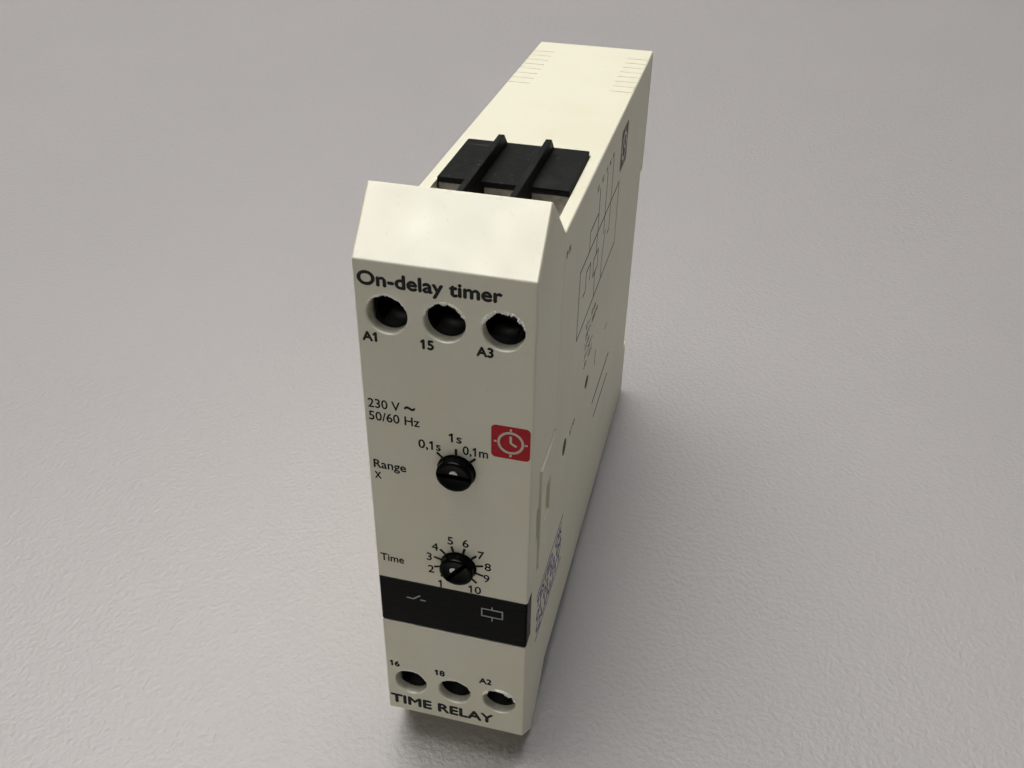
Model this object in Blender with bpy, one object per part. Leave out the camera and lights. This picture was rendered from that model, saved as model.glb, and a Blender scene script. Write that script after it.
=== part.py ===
"""Time relay in a 22.5 mm wide housing for a 35 mm DIN rail.

The frame has +Z up, the operating face towards -Y and the rail behind, at +Y. The origin is the
centre of the face that seats on the rail. Helpers take millimetres and build meshes in metres.
"""

import math

import bmesh
import bpy
from mathutils import Vector

MM = 0.001
GAP = 0.3  # clearance between pieces that touch

# Housing
HALF_WIDTH = 11.25
WALL = 1.75
INNER_HALF = HALF_WIDTH - WALL
BODY_HALF_HEIGHT = 40.0
BODY_FRONT = -80.9
BODY_REAR = 3.4
TOP_WALL_FRONT = -54.45  # where the top wall begins behind the terminals
TONGUE_FRONT = -90.5
TONGUE_LOW, TONGUE_HIGH = -9.05, 9.15
CATCH_LOW, CATCH_HIGH = -2.8, 3.8  # height of the snap windows
CATCH_FRONT, CATCH_REAR = -87.1, -84.1

# DIN rail seat, hook and clip channel
RAIL_HALF = 17.7
RAIL_LIP = 1.3
HOOK_LOW = 16.0
SEAT_HALF = 15.5
SEAT_RELIEF = 0.3
RECESS_LOW = -26.3
CHANNEL_FLOOR = -1.6
CHANNEL_TOP = -21.2
FLANGE_HALF, STEM_HALF = 5.6, 4.7
FLANGE_REAR = 0.9

# Front cover
FACE = -96.1
FACE_HALF_HEIGHT = 40.84
APEX = (-89.52, 47.92)
VALLEY = (-81.2, 40.3)
COVER_WALL = 1.6
FACE_WALL = 2.2
KNOB_X = 1.1
RANGE_Z, TIME_Z = 11.46, -5.89
KNOB_RADIUS = 2.55
KNOB_PROUD = 1.4
TIME_REST_DEG = -52.0  # the pointer of the time knob, clockwise from the top
HOLE_PITCH = 7.25
HOLE_RADIUS = 2.575
SCREW_Z = 33.75
WINDOW_LOW, WINDOW_HIGH = -19.95, -10.95
WINDOW_WRAP = 2.7
WINDOW_THICK = 1.5

# Terminals
TERMINAL_NAMES = {1: ("a1", "15", "a3"), -1: ("16", "18", "a2")}
TERMINAL_PITCH = 6.75
BLOCK_HALF = 9.35
BLOCK_FRONT, BLOCK_REAR = -93.6, -54.75
BLOCK_LOW, BLOCK_TOP = 22.0, 38.3
CHAMBER_LOW = 26.0
PANEL_TOP, PANEL_THICK, PANEL_FRONT = 40.6, 0.8, -69.4
CHAMBER_FRONT, CHAMBER_REAR = -87.2, -68.9
RIB_X, RIB_HALF_THICK, RIB_TOP = 3.55, 0.45, 42.66
SCREW_HEAD_RADIUS, SCREW_RADIUS = 2.1, 1.4
SCREW_HEAD_FRONT, SCREW_HEAD_REAR, SCREW_TIP = -90.0, -88.2, -78.8
CAGE_FRONT, CAGE_REAR = -81.5, -69.2
CAGE_HALF_WIDTH, CAGE_HALF_HEIGHT, CAGE_WALL = 2.45, 3.0, 0.75
TAB_FRONT, TAB_REAR = -78.5, -77.5
TAB_HALF_WIDTH = 1.5

# Boards
BOARD = 1.6
MAIN_BOARD_X = -7.0  # component side of the main board
FRONT_BOARD_Y = -87.2
PART_X = MAIN_BOARD_X + GAP  # where parts stand on the main board

materials = {}


def clear_scene():
    for item in list(bpy.data.objects):
        bpy.data.objects.remove(item, do_unlink=True)


def material(name, colour, roughness, metallic=0.0):
    if name not in materials:
        made = bpy.data.materials.new(name)
        made.use_nodes = True
        shader = made.node_tree.nodes["Principled BSDF"]
        shader.inputs["Base Color"].default_value = (*colour, 1.0)
        shader.inputs["Roughness"].default_value = roughness
        shader.inputs["Metallic"].default_value = metallic
        materials[name] = made
    return materials[name]


def cream_plastic():
    return material("cream_plastic", (0.78, 0.76, 0.66), 0.5)


def black_plastic():
    return material("black_plastic", (0.02, 0.02, 0.022), 0.45)


def smoked_window():
    return material("smoked_window", (0.03, 0.03, 0.04), 0.15)


def bright_steel():
    return material("bright_steel", (0.62, 0.6, 0.57), 0.32, 1.0)


def tinned_copper():
    return material("tinned_copper", (0.7, 0.66, 0.6), 0.35, 1.0)


def board_laminate():
    return material("board_laminate", (0.12, 0.28, 0.14), 0.5)


def blue_epoxy():
    return material("blue_epoxy", (0.05, 0.16, 0.42), 0.4)


def red_lens():
    return material("red_lens", (0.6, 0.03, 0.02), 0.2)


def green_lens():
    return material("green_lens", (0.05, 0.5, 0.1), 0.2)


def coil_wire():
    return material("coil_wire", (0.55, 0.24, 0.1), 0.35, 0.6)


# ---------------------------------------------------------------- mesh helpers


def mesh_object(name, bm, finish):
    """A closed mesh in millimetres becomes an object in metres."""
    bmesh.ops.scale(bm, vec=(MM, MM, MM), verts=bm.verts)
    bmesh.ops.recalc_face_normals(bm, faces=bm.faces)
    mesh = bpy.data.meshes.new(name)
    bm.to_mesh(mesh)
    bm.free()
    made = bpy.data.objects.new(name, mesh)
    bpy.context.scene.collection.objects.link(made)
    if finish is not None:
        mesh.materials.append(finish)
        mesh.shade_smooth()
        mesh.set_sharp_from_angle(angle=math.radians(35))
    return made


def helper_object(name, bm):
    """A cutter, or a shape to be united with a piece: shown as wire and never built."""
    made = mesh_object(name, bm, None)
    made.hide_render = True
    made.display_type = "WIRE"
    return made


def boolean(piece, operation, bm):
    tool = helper_object(f"{piece.name}_{operation.lower()}", bm)
    tool.matrix_world = piece.matrix_world
    change = piece.modifiers.new(operation.title(), "BOOLEAN")
    change.operation = operation
    change.solver = "EXACT"
    change.object = tool
    return tool


def place(piece, x=0.0, y=0.0, z=0.0):
    piece.location = Vector((x, y, z)) * MM
    bpy.context.view_layer.update()
    for change in piece.modifiers:
        change.object.matrix_world = piece.matrix_world
    return piece


def add_box(bm, low, high):
    centre = (Vector(low) + Vector(high)) / 2
    size = Vector(high) - Vector(low)
    made = bmesh.ops.create_cube(bm, size=1.0)["verts"]
    bmesh.ops.scale(bm, vec=size, verts=made)
    bmesh.ops.translate(bm, vec=centre, verts=made)


def boxes(*corners):
    bm = bmesh.new()
    for low, high in corners:
        add_box(bm, low, high)
    return bm


def add_prism(bm, points, sweep):
    """The closed outline of 3D points, pushed along sweep."""
    face = bm.faces.new([bm.verts.new(p) for p in points])
    pushed = bmesh.ops.extrude_face_region(bm, geom=[face])["geom"]
    moved = [v for v in pushed if isinstance(v, bmesh.types.BMVert)]
    bmesh.ops.translate(bm, vec=sweep, verts=moved)


def prism_x(outline, x_low, x_high):
    """An outline of (y, z) points swept from x_low to x_high."""
    bm = bmesh.new()
    add_prism(bm, [(x_low, y, z) for y, z in outline], (x_high - x_low, 0, 0))
    return bm


def prism_y(outline, y_low, y_high):
    """An outline of (x, z) points swept from y_low to y_high."""
    bm = bmesh.new()
    add_prism(bm, [(x, y_low, z) for x, z in outline], (0, y_high - y_low, 0))
    return bm


def prism_z(outline, z_low, z_high):
    """An outline of (x, y) points swept from z_low to z_high."""
    bm = bmesh.new()
    add_prism(bm, [(x, y, z_low) for x, y in outline], (0, 0, z_high - z_low))
    return bm


def add_turned(bm, profile, centre, axis, steps=24):
    """A profile of (radius, distance along axis) points, spun about the axis through centre."""
    along = Vector(axis)
    across = Vector((0, 0, 1)) if abs(along.z) < 0.5 else Vector((1, 0, 0))
    points = [bm.verts.new(Vector(centre) + across * r + along * h) for r, h in profile]
    edges = [bm.edges.new(pair) for pair in zip(points, points[1:])]
    if profile[0] != profile[-1] and profile[0][0] > 0 and profile[-1][0] > 0:
        edges.append(bm.edges.new((points[-1], points[0])))
    bmesh.ops.spin(
        bm, geom=points + edges, cent=centre, axis=along, angle=2 * math.pi, steps=steps,
        use_merge=True,
    )
    bmesh.ops.remove_doubles(bm, verts=bm.verts, dist=1e-4)


def turned(profile, centre=(0, 0, 0), axis=(0, 1, 0), steps=24):
    bm = bmesh.new()
    add_turned(bm, profile, centre, axis, steps)
    return bm


def solid_rod(radius, low, high):
    return [(0, low), (radius, low), (radius, high), (0, high)]


def mirrored(outline):
    """The lower half of an outline of (y, z) points, from its upper half."""
    return outline + [(y, -z) for y, z in reversed(outline)]


def inner_corner(before, corner, after, inset):
    """Where two walls of a convex corner meet on their inner sides."""
    into, out = Vector(corner) - Vector(before), Vector(after) - Vector(corner)
    into.normalize()
    out.normalize()
    turn = (out - into).normalized()
    half = math.acos(max(-1.0, min(1.0, into.dot(out)))) / 2
    return Vector(corner) + turn * (inset / math.cos(half))


# ---------------------------------------------------------------- housing


def make_housing_body():
    """The open-fronted box that carries everything else, with its rail seat and clip channel."""
    h = BODY_HALF_HEIGHT
    outline = [
        (BODY_FRONT, -h), (BODY_REAR, -h), (BODY_REAR, RECESS_LOW),
        (-SEAT_RELIEF, RECESS_LOW), (-SEAT_RELIEF, -SEAT_HALF), (0, -SEAT_HALF),
        (0, SEAT_HALF), (-SEAT_RELIEF, SEAT_HALF), (-SEAT_RELIEF, RAIL_HALF),
        (RAIL_LIP, RAIL_HALF), (RAIL_LIP, HOOK_LOW), (BODY_REAR, HOOK_LOW),
        (BODY_REAR, h), (BODY_FRONT, h), (BODY_FRONT, TONGUE_HIGH),
        (TONGUE_FRONT, TONGUE_HIGH), (TONGUE_FRONT, TONGUE_LOW), (BODY_FRONT, TONGUE_LOW),
    ]
    body = mesh_object(
        "housing_body", prism_x(outline, -HALF_WIDTH, HALF_WIDTH), cream_plastic()
    )
    inner = h - WALL
    channel_back = CHANNEL_FLOOR - WALL
    channel_end = CHANNEL_TOP + WALL
    cavity = [
        (FACE, -inner), (channel_back, -inner), (channel_back, channel_end),
        (-WALL, channel_end), (-WALL, RAIL_HALF + WALL),
        (BODY_REAR - WALL, RAIL_HALF + WALL), (BODY_REAR - WALL, inner), (FACE, inner),
    ]
    boolean(body, "DIFFERENCE", prism_x(cavity, -INNER_HALF, INNER_HALF))
    boolean(body, "DIFFERENCE", boxes(
        *[
            ((-INNER_HALF, FACE, side * h - 3), (INNER_HALF, TOP_WALL_FRONT, side * h + 3))
            for side in (1, -1)
        ],
        *[
            (
                (side * HALF_WIDTH - 3, CATCH_FRONT, CATCH_LOW),
                (side * HALF_WIDTH + 3, CATCH_REAR, CATCH_HIGH),
            )
            for side in (1, -1)
        ],
    ))
    boolean(body, "DIFFERENCE", clip_channel())
    boolean(body, "DIFFERENCE", vent_slits())
    boolean(body, "UNION", boxes(spring_lug()))
    return body


def clip_channel():
    """A T-shaped channel in the lower part of the back, open below and into the rail recess."""
    wide, narrow = FLANGE_HALF + GAP, STEM_HALF + GAP
    lip = FLANGE_REAR + GAP
    outline = [
        (-wide, CHANNEL_FLOOR), (wide, CHANNEL_FLOOR), (wide, lip), (narrow, lip),
        (narrow, BODY_REAR + 1), (-narrow, BODY_REAR + 1), (-narrow, lip), (-wide, lip),
    ]
    return prism_z(outline, -BODY_HALF_HEIGHT - 1, CHANNEL_TOP)


def spring_lug():
    """The fixed stop that the clip's spring stands on, inside the clip's window."""
    return (-1.9, CHANNEL_FLOOR - 0.8, -36.0), (1.9, 2.6, -34.8)


def vent_slits():
    """Rows of slits through both corners of the top and bottom, over the electronics."""
    count, pitch, width, first, inner_x = 8, 2.88, 0.9, -23.5, 7.1
    deep, clear = BODY_HALF_HEIGHT - WALL - 0.4, BODY_HALF_HEIGHT + 1
    bm = bmesh.new()
    for level in (1, -1):
        z_low, z_high = sorted((level * deep, level * clear))
        for side in (1, -1):
            x_low, x_high = sorted((side * inner_x, side * (HALF_WIDTH + 1)))
            for number in range(count):
                y = first + number * pitch
                add_box(bm, (x_low, y - width / 2, z_low), (x_high, y + width / 2, z_high))
    return bm


def make_front_cover():
    """The clip-on front with its two raised noses, which shield the terminals."""
    face_corner = (FACE, FACE_HALF_HEIGHT)
    edge = VALLEY[0]
    low, high = TONGUE_LOW - GAP, TONGUE_HIGH + GAP
    step = TONGUE_FRONT - GAP
    outline = [
        face_corner, APEX, VALLEY, (edge, high), (step, high), (step, low), (edge, low),
        (VALLEY[0], -VALLEY[1]), (APEX[0], -APEX[1]), (FACE, -FACE_HALF_HEIGHT),
    ]
    cover = mesh_object(
        "front_cover", prism_x(outline, -HALF_WIDTH, HALF_WIDTH), cream_plastic()
    )
    roof = inner_corner(face_corner, APEX, VALLEY, COVER_WALL)
    sill = BLOCK_TOP + GAP
    rise = (Vector(APEX) - Vector(face_corner)).normalized()
    fall = (Vector(VALLEY) - Vector(APEX)).normalized()
    inner_face = FACE + FACE_WALL
    front_top = roof - rise * ((roof.x - inner_face) / rise.x)
    rear_foot = roof + fall * ((sill - roof.y) / fall.y)
    cavity = mirrored([tuple(front_top), tuple(roof), tuple(rear_foot), (edge + 2, sill)])
    boolean(cover, "DIFFERENCE", prism_x(cavity, -INNER_HALF, INNER_HALF))
    boolean(cover, "DIFFERENCE", cover_holes())
    window_rear = FACE + WINDOW_WRAP + GAP / 2
    boolean(cover, "DIFFERENCE", boxes(
        (
            (-HALF_WIDTH - 1, FACE - 1, WINDOW_LOW - GAP / 2),
            (HALF_WIDTH + 1, window_rear, WINDOW_HIGH + GAP / 2),
        ),
        *[
            (
                (side * HALF_WIDTH - 3, step - 1.3, CATCH_LOW),
                (side * HALF_WIDTH + 3, step + 1, CATCH_HIGH - 0.4),
            )
            for side in (1, -1)
        ],
    ))
    boolean(cover, "UNION", snap_arms())
    return cover


def cover_holes():
    """Round holes through the face for the screwdriver and for the two knobs."""
    bm = bmesh.new()
    through = solid_rod(HOLE_RADIUS, FACE - 1, FACE + FACE_WALL + 1)
    for level in (1, -1):
        for column in (-1, 0, 1):
            add_turned(bm, through, (column * HOLE_PITCH, 0, level * SCREW_Z), (0, 1, 0))
    knob_hole = solid_rod(KNOB_RADIUS + 0.15, FACE - 1, FACE + FACE_WALL + 1)
    for z in (RANGE_Z, TIME_Z):
        add_turned(bm, knob_hole, (KNOB_X, 0, z), (0, 1, 0))
    return bm


def snap_arms():
    """Springy arms behind the face, whose hooks catch in the windows of the housing's tongues."""
    bm = bmesh.new()
    for side in (1, -1):
        hook = [
            (side * 8.1, FACE + FACE_WALL - 0.6), (side * 9.2, FACE + FACE_WALL - 0.6),
            (side * 9.2, CATCH_FRONT + GAP), (side * 9.95, CATCH_FRONT + GAP),
            (side * 9.2, CATCH_REAR - GAP), (side * 8.1, CATCH_REAR - GAP),
        ]
        low, high = CATCH_LOW + 0.5, CATCH_HIGH - 0.5
        add_prism(bm, [(x, y, low) for x, y in hook], (0, 0, high - low))
    return bm


def make_led_window():
    """The dark band across the face, whose ends wrap round both edges."""
    front_rear = FACE + WINDOW_THICK
    wrap_rear = FACE + WINDOW_WRAP
    inner = INNER_HALF
    outline = [
        (-HALF_WIDTH, FACE), (HALF_WIDTH, FACE), (HALF_WIDTH, wrap_rear), (inner, wrap_rear),
        (inner, front_rear), (-inner, front_rear), (-inner, wrap_rear),
        (-HALF_WIDTH, wrap_rear),
    ]
    return mesh_object(
        "led_window", prism_z(outline, WINDOW_LOW, WINDOW_HIGH), smoked_window()
    )


# ---------------------------------------------------------------- terminals


def level_name(level):
    return "top" if level > 0 else "bottom"


def make_terminal_block(level):
    """A moulded block with three wire chambers, screw tunnels and two tall partition ribs."""
    outline = [
        (BLOCK_FRONT, level * BLOCK_LOW), (BLOCK_REAR, level * BLOCK_LOW),
        (BLOCK_REAR, level * PANEL_TOP), (PANEL_FRONT, level * PANEL_TOP),
        (PANEL_FRONT, level * BLOCK_TOP), (BLOCK_FRONT, level * BLOCK_TOP),
    ]
    block = mesh_object(
        f"terminal_block_{level_name(level)}",
        prism_x(outline, -BLOCK_HALF, BLOCK_HALF), black_plastic(),
    )
    boolean(block, "UNION", partition_ribs(level))
    boolean(block, "DIFFERENCE", terminal_chambers(level))
    boolean(block, "DIFFERENCE", screw_tunnels(level))
    return block


def partition_ribs(level):
    foot = BLOCK_TOP - 2
    outline = [
        (-80.6, foot), (-80.6, VALLEY[1]), (-83.2, RIB_TOP), (-56.5, RIB_TOP),
        (-54.1, VALLEY[1]), (BLOCK_REAR, VALLEY[1]), (BLOCK_REAR, foot),
    ]
    bm = bmesh.new()
    for side in (1, -1):
        x = side * RIB_X - RIB_HALF_THICK
        points = [(x, y, level * z) for y, z in outline]
        add_prism(bm, points, (2 * RIB_HALF_THICK, 0, 0))
    return bm


def terminal_chambers(level):
    """Wire chambers, open above in front of the panels."""
    edge = RIB_X - RIB_HALF_THICK
    outer = RIB_X + RIB_HALF_THICK
    bm = bmesh.new()
    z_low, z_high = sorted((level * CHAMBER_LOW, level * (PANEL_TOP - PANEL_THICK)))
    for x_low, x_high in ((-BLOCK_HALF - 1, -outer), (-edge, edge), (outer, BLOCK_HALF + 1)):
        add_box(bm, (x_low, CHAMBER_FRONT, z_low), (x_high, CHAMBER_REAR, z_high))
    return bm


def screw_tunnels(level):
    """For each screw a tunnel with a ledge under its head, and a slot for the contact tab."""
    bm = bmesh.new()
    ledge = SCREW_HEAD_REAR + 0.2
    profile = [
        (0, BLOCK_FRONT - 1), (SCREW_HEAD_RADIUS + 0.2, BLOCK_FRONT - 1),
        (SCREW_HEAD_RADIUS + 0.2, ledge), (SCREW_RADIUS + GAP, ledge),
        (SCREW_RADIUS + GAP, CHAMBER_FRONT + 1), (0, CHAMBER_FRONT + 1),
    ]
    reach = TAB_HALF_WIDTH + 0.2
    ends = sorted((level * (BLOCK_LOW - 1), level * (CHAMBER_LOW + 1)))
    for column in (-1, 0, 1):
        x = column * TERMINAL_PITCH
        add_turned(bm, profile, (x, 0, level * SCREW_Z), (0, 1, 0), steps=20)
        add_box(
            bm,
            (x - reach, TAB_FRONT - GAP, ends[0]),
            (x + reach, TAB_REAR + GAP, ends[1]),
        )
    return bm


def make_terminal_screw(name, x, z):
    """A slotted screw. It turns in place and draws the clamp cage towards its head."""
    under = SCREW_HEAD_REAR - SCREW_HEAD_FRONT
    tip = SCREW_TIP - SCREW_HEAD_FRONT
    profile = [
        (0, 0), (SCREW_HEAD_RADIUS - 0.3, 0), (SCREW_HEAD_RADIUS, 0.3),
        (SCREW_HEAD_RADIUS, under), (SCREW_RADIUS, under), (SCREW_RADIUS, tip - 0.4),
        (SCREW_RADIUS - 0.4, tip), (0, tip),
    ]
    screw = mesh_object(name, turned(profile, steps=20), bright_steel())
    boolean(screw, "DIFFERENCE", boxes(((-3, -1, -0.35), (3, 0.8, 0.35))))
    return place(screw, x, SCREW_HEAD_FRONT, z)


def make_clamp_cage(name, x, z):
    """A rising clamp: a threaded front bar, two sides and the rear bar that presses on the wire."""
    half, wall = CAGE_HALF_WIDTH, CAGE_WALL
    front_bar, rear_bar = 2.2, 1.0
    length = CAGE_REAR - CAGE_FRONT
    bm = boxes(((-half, 0, -CAGE_HALF_HEIGHT), (half, length, CAGE_HALF_HEIGHT)))
    cage = mesh_object(name, bm, bright_steel())
    boolean(cage, "DIFFERENCE", boxes((
        (wall - half, front_bar, -CAGE_HALF_HEIGHT - 1),
        (half - wall, length - rear_bar, CAGE_HALF_HEIGHT + 1),
    )))
    thread = solid_rod(SCREW_RADIUS + GAP, -1, front_bar + 1)
    boolean(cage, "DIFFERENCE", turned(thread, steps=20))
    return place(cage, x, CAGE_FRONT, z)


def make_contact_tab(name, column, level):
    """A flat contact in the clamp, whose foot runs sideways to the edge of the main board."""
    x = column * TERMINAL_PITCH
    left, right = x - TAB_HALF_WIDTH, x + TAB_HALF_WIDTH
    blade_low, blade_high = BLOCK_LOW - 0.3, 36.9
    foot_high = blade_low - 1.3 * (column + 1)
    foot_low = foot_high - 1.0
    board_side = PART_X
    if column < 0:
        outline = [
            (board_side, foot_low), (right, foot_low), (right, blade_high),
            (left, blade_high), (left, blade_low), (board_side, blade_low),
        ]
    else:
        outline = [
            (board_side, foot_low), (right, foot_low), (right, blade_high),
            (left, blade_high), (left, foot_high), (board_side, foot_high),
        ]
    points = [(px - x, level * pz) for px, pz in outline]
    bm = prism_y(points, 0, TAB_REAR - TAB_FRONT)
    return place(mesh_object(name, bm, tinned_copper()), x, TAB_FRONT, 0)


def make_terminals():
    for level, names in TERMINAL_NAMES.items():
        make_terminal_block(level)
        for column, name in zip((-1, 0, 1), names):
            x, z = column * TERMINAL_PITCH, level * SCREW_Z
            make_terminal_screw(f"terminal_screw_{name}", x, z)
            make_clamp_cage(f"clamp_cage_{name}", x, z)
            make_contact_tab(f"contact_tab_{name}", column, level)


# ---------------------------------------------------------------- knobs


def make_knob(name, z, pointer_deg):
    """A slotted knob held behind the face by its flange. The slot lies across its pointer."""
    proud, flange_front = FACE - KNOB_PROUD, FACE + FACE_WALL + GAP
    rear = flange_front + 1.0
    profile = [
        (0, 0), (KNOB_RADIUS - 0.25, 0), (KNOB_RADIUS, 0.25),
        (KNOB_RADIUS, flange_front - proud), (KNOB_RADIUS + 0.7, flange_front - proud),
        (KNOB_RADIUS + 0.7, rear - proud), (0, rear - proud),
    ]
    knob = mesh_object(name, turned(profile, steps=32), black_plastic())
    boolean(knob, "DIFFERENCE", boxes(((-4, -1, -0.45), (4, 0.95, 0.45))))
    knob.rotation_euler = (0, math.radians(pointer_deg), 0)
    return place(knob, KNOB_X, proud, z)


def make_shaft(name, z):
    """The shaft between the knob and the contacts inside its control."""
    front, rear = FACE + FACE_WALL + 1.0 + 2 * GAP, -88.4
    shaft = mesh_object(name, turned(solid_rod(1.5, 0, rear - front), steps=16), bright_steel())
    return place(shaft, KNOB_X, front, z)


def make_control_body(name, z, finish):
    """The body of a rotary control on the front board, with a blind bore for its shaft."""
    half, front, rear = 5.3, -91.9, FRONT_BOARD_Y - GAP
    control = mesh_object(name, boxes(((-half, 0, -half), (half, rear - front, half))), finish)
    boolean(control, "DIFFERENCE", turned(solid_rod(1.8, -1, 3.8), steps=16))
    return place(control, KNOB_X, front, z)


# ---------------------------------------------------------------- boards and electronics


def make_main_board():
    """The main circuit board, beside the left wall. It narrows between the terminal blocks."""
    outline = mirrored([(-83.8, 21.3), (-54.2, 21.3), (-54.2, 37.6), (-4.0, 37.6)])
    bm = prism_x(outline, MAIN_BOARD_X - BOARD, MAIN_BOARD_X)
    return mesh_object("main_pcb", bm, board_laminate())


def make_front_board():
    """The small board behind the face, which carries the controls and the two lamps."""
    bm = boxes(((-7.8, FRONT_BOARD_Y, -19.5), (7.8, FRONT_BOARD_Y + BOARD, 19.5)))
    return mesh_object("front_pcb", bm, board_laminate())


def make_lamp(name, x, finish):
    """A 3 mm lamp on the front board, behind the dark window."""
    z = (WINDOW_LOW + WINDOW_HIGH) / 2
    base, tip, radius = FRONT_BOARD_Y - GAP, -92.6, 1.5
    shoulder = tip + radius
    dome = [
        (radius * math.sin(a), shoulder - radius * math.cos(a))
        for a in (math.pi / 2 * step / 5 for step in range(6))
    ]
    profile = dome + [(radius, base - 1.0), (1.9, base - 1.0), (1.9, base), (0, base)]
    bm = turned([(r, y - base) for r, y in profile], steps=16)
    return place(mesh_object(name, bm, finish), x, base, z)


def add_block(name, low, high, finish, edge=0.5):
    """A component with softly rounded edges."""
    bm = boxes((low, high))
    bmesh.ops.bevel(
        bm, geom=list(bm.edges), offset=edge, offset_type="OFFSET", segments=1, affect="EDGES",
        profile=0.5,
    )
    return mesh_object(name, bm, finish)


def make_electronics():
    x = PART_X
    add_block("board_connector", (x, -85.3, -12.7), (x + 2.5, -80.0, 12.7), black_plastic(), 0.2)
    add_block("timer_ic", (x, -67.2, -9.7), (x + 3.5, -60.8, 9.7), black_plastic(), 0.4)
    add_block("dropper_capacitor", (x, -45.0, 6.0), (8.6, -33.0, 32.0), blue_epoxy(), 0.8)
    add_block("bridge_rectifier", (x, -40.0, -12.0), (3.3, -36.0, 3.0), black_plastic(), 0.5)
    can = [(0, 0), (6.3, 0), (6.3, 13.0), (5.8, 13.5), (0, 13.5)]
    smoothing = turned(can, axis=(1, 0, 0))
    place(mesh_object("smoothing_capacitor", smoothing, blue_epoxy()), x, -17.0, 25.0)
    small_can = [(0, 0), (4.0, 0), (4.0, 7.6), (3.6, 8.0), (0, 8.0)]
    timing = turned(small_can, axis=(1, 0, 0), steps=20)
    place(mesh_object("timing_capacitor", timing, blue_epoxy()), x, -73.5, 6.0)
    disc = [(0, -2.0), (4.4, -2.0), (5.0, -1.4), (5.0, 1.4), (4.4, 2.0), (0, 2.0)]
    place(mesh_object("varistor", turned(disc, steps=20), blue_epoxy()), x + 5.3, -17.0, 8.0)
    resistor = [(0, -7.0), (2.4, -7.0), (2.4, -4.6), (2.0, -4.2), (2.0, 4.2), (2.4, 4.6),
                (2.4, 7.0), (0, 7.0)]
    sleeve = turned(resistor, axis=(0, 0, 1), steps=16)
    place(mesh_object("dropper_resistor", sleeve, cream_plastic()), x + 2.7, -38.0, -24.0)
    diode = turned(solid_rod(1.35, -2.6, 2.6), axis=(0, 0, 1), steps=12)
    place(mesh_object("zener_diode", diode, black_plastic()), x + 1.7, -30.0, -4.0)
    arc = [math.radians(40 + 280 * step / 10) for step in range(11)]
    outline = [(2.3 * math.cos(a), 2.3 * math.sin(a)) for a in arc]
    transistor = prism_x(outline, 0, 4.8)
    place(mesh_object("relay_transistor", transistor, black_plastic()), x, -31.0, -14.0)


# ---------------------------------------------------------------- relay

RELAY_Y = -17.0
RELAY_HALF = 7.0
RELAY_LOW, RELAY_HIGH = -35.0, -6.0
RELAY_BASE_TOP = -4.9
COIL_X, COIL_LOW, COIL_HIGH = 0.5, -27.0, -12.0
YOKE_LOW, YOKE_HIGH = 5.5, 6.7
ARMATURE_PIVOT = (6.1, -29.1)


def make_relay():
    """The changeover relay, without which nothing switches: case, coil, iron and contacts."""
    front, rear = RELAY_Y - RELAY_HALF, RELAY_Y + RELAY_HALF
    add_block("relay_base", (PART_X, front, RELAY_LOW), (RELAY_BASE_TOP, rear, RELAY_HIGH),
              black_plastic(), 0.2)
    case_low = RELAY_BASE_TOP + GAP
    case = mesh_object(
        "relay_cover",
        boxes(((case_low, front, RELAY_LOW), (8.9, rear, RELAY_HIGH))), blue_epoxy(),
    )
    boolean(case, "DIFFERENCE", boxes((
        (case_low - 1, front + 0.9, RELAY_LOW + 0.9), (8.0, rear - 0.9, RELAY_HIGH - 0.9)
    )))
    bobbin = [
        (1.9, COIL_LOW), (4.6, COIL_LOW), (4.6, COIL_LOW + 1), (4.1, COIL_LOW + 1),
        (4.1, COIL_HIGH - 1), (4.6, COIL_HIGH - 1), (4.6, COIL_HIGH), (1.9, COIL_HIGH),
    ]
    winding = turned(bobbin, axis=(0, 0, 1))
    place(mesh_object("relay_coil", winding, coil_wire()), COIL_X, RELAY_Y, 0)
    core = turned(solid_rod(1.6, COIL_LOW - 1.0, COIL_HIGH + 1.0), axis=(0, 0, 1), steps=16)
    place(mesh_object("relay_core", core, bright_steel()), COIL_X, RELAY_Y, 0)
    yoke = [
        (YOKE_LOW, -28.6), (YOKE_HIGH, -28.6), (YOKE_HIGH, -9.4), (-3.0, -9.4),
        (-3.0, -10.7), (YOKE_LOW, -10.7),
    ]
    yoke_bar = prism_y(yoke, -4.5, 4.5)
    place(mesh_object("relay_yoke", yoke_bar, bright_steel()), 0, RELAY_Y, 0)


def make_relay_armature():
    """The iron flap, hung on the end of the yoke, and the contact blade that it carries."""
    pivot_x, pivot_z = ARMATURE_PIVOT
    flap = boxes(((-9.1, -4.5, -0.9), (0.6, 4.5, 0.1)))
    place(mesh_object("relay_armature", flap, bright_steel()), pivot_x, RELAY_Y, pivot_z)
    blade = boxes(((-9.9, -2.0, -1.7), (-1.6, 2.0, -1.2)))
    place(mesh_object("relay_moving_contact", blade, tinned_copper()), pivot_x, RELAY_Y, pivot_z)


def make_relay_contacts():
    """The two fixed contact posts, one on each side of the blade's tip."""
    foot = RELAY_BASE_TOP + GAP
    spans = (("relay_contact_rest", -32.2, -31.2), ("relay_contact_work", -28.9, -28.0))
    for name, low, high in spans:
        post = boxes(((foot, -2.0, low), (-3.3, 2.0, high)))
        place(mesh_object(name, post, tinned_copper()), 0, RELAY_Y, 0)


# ---------------------------------------------------------------- DIN clip


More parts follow.
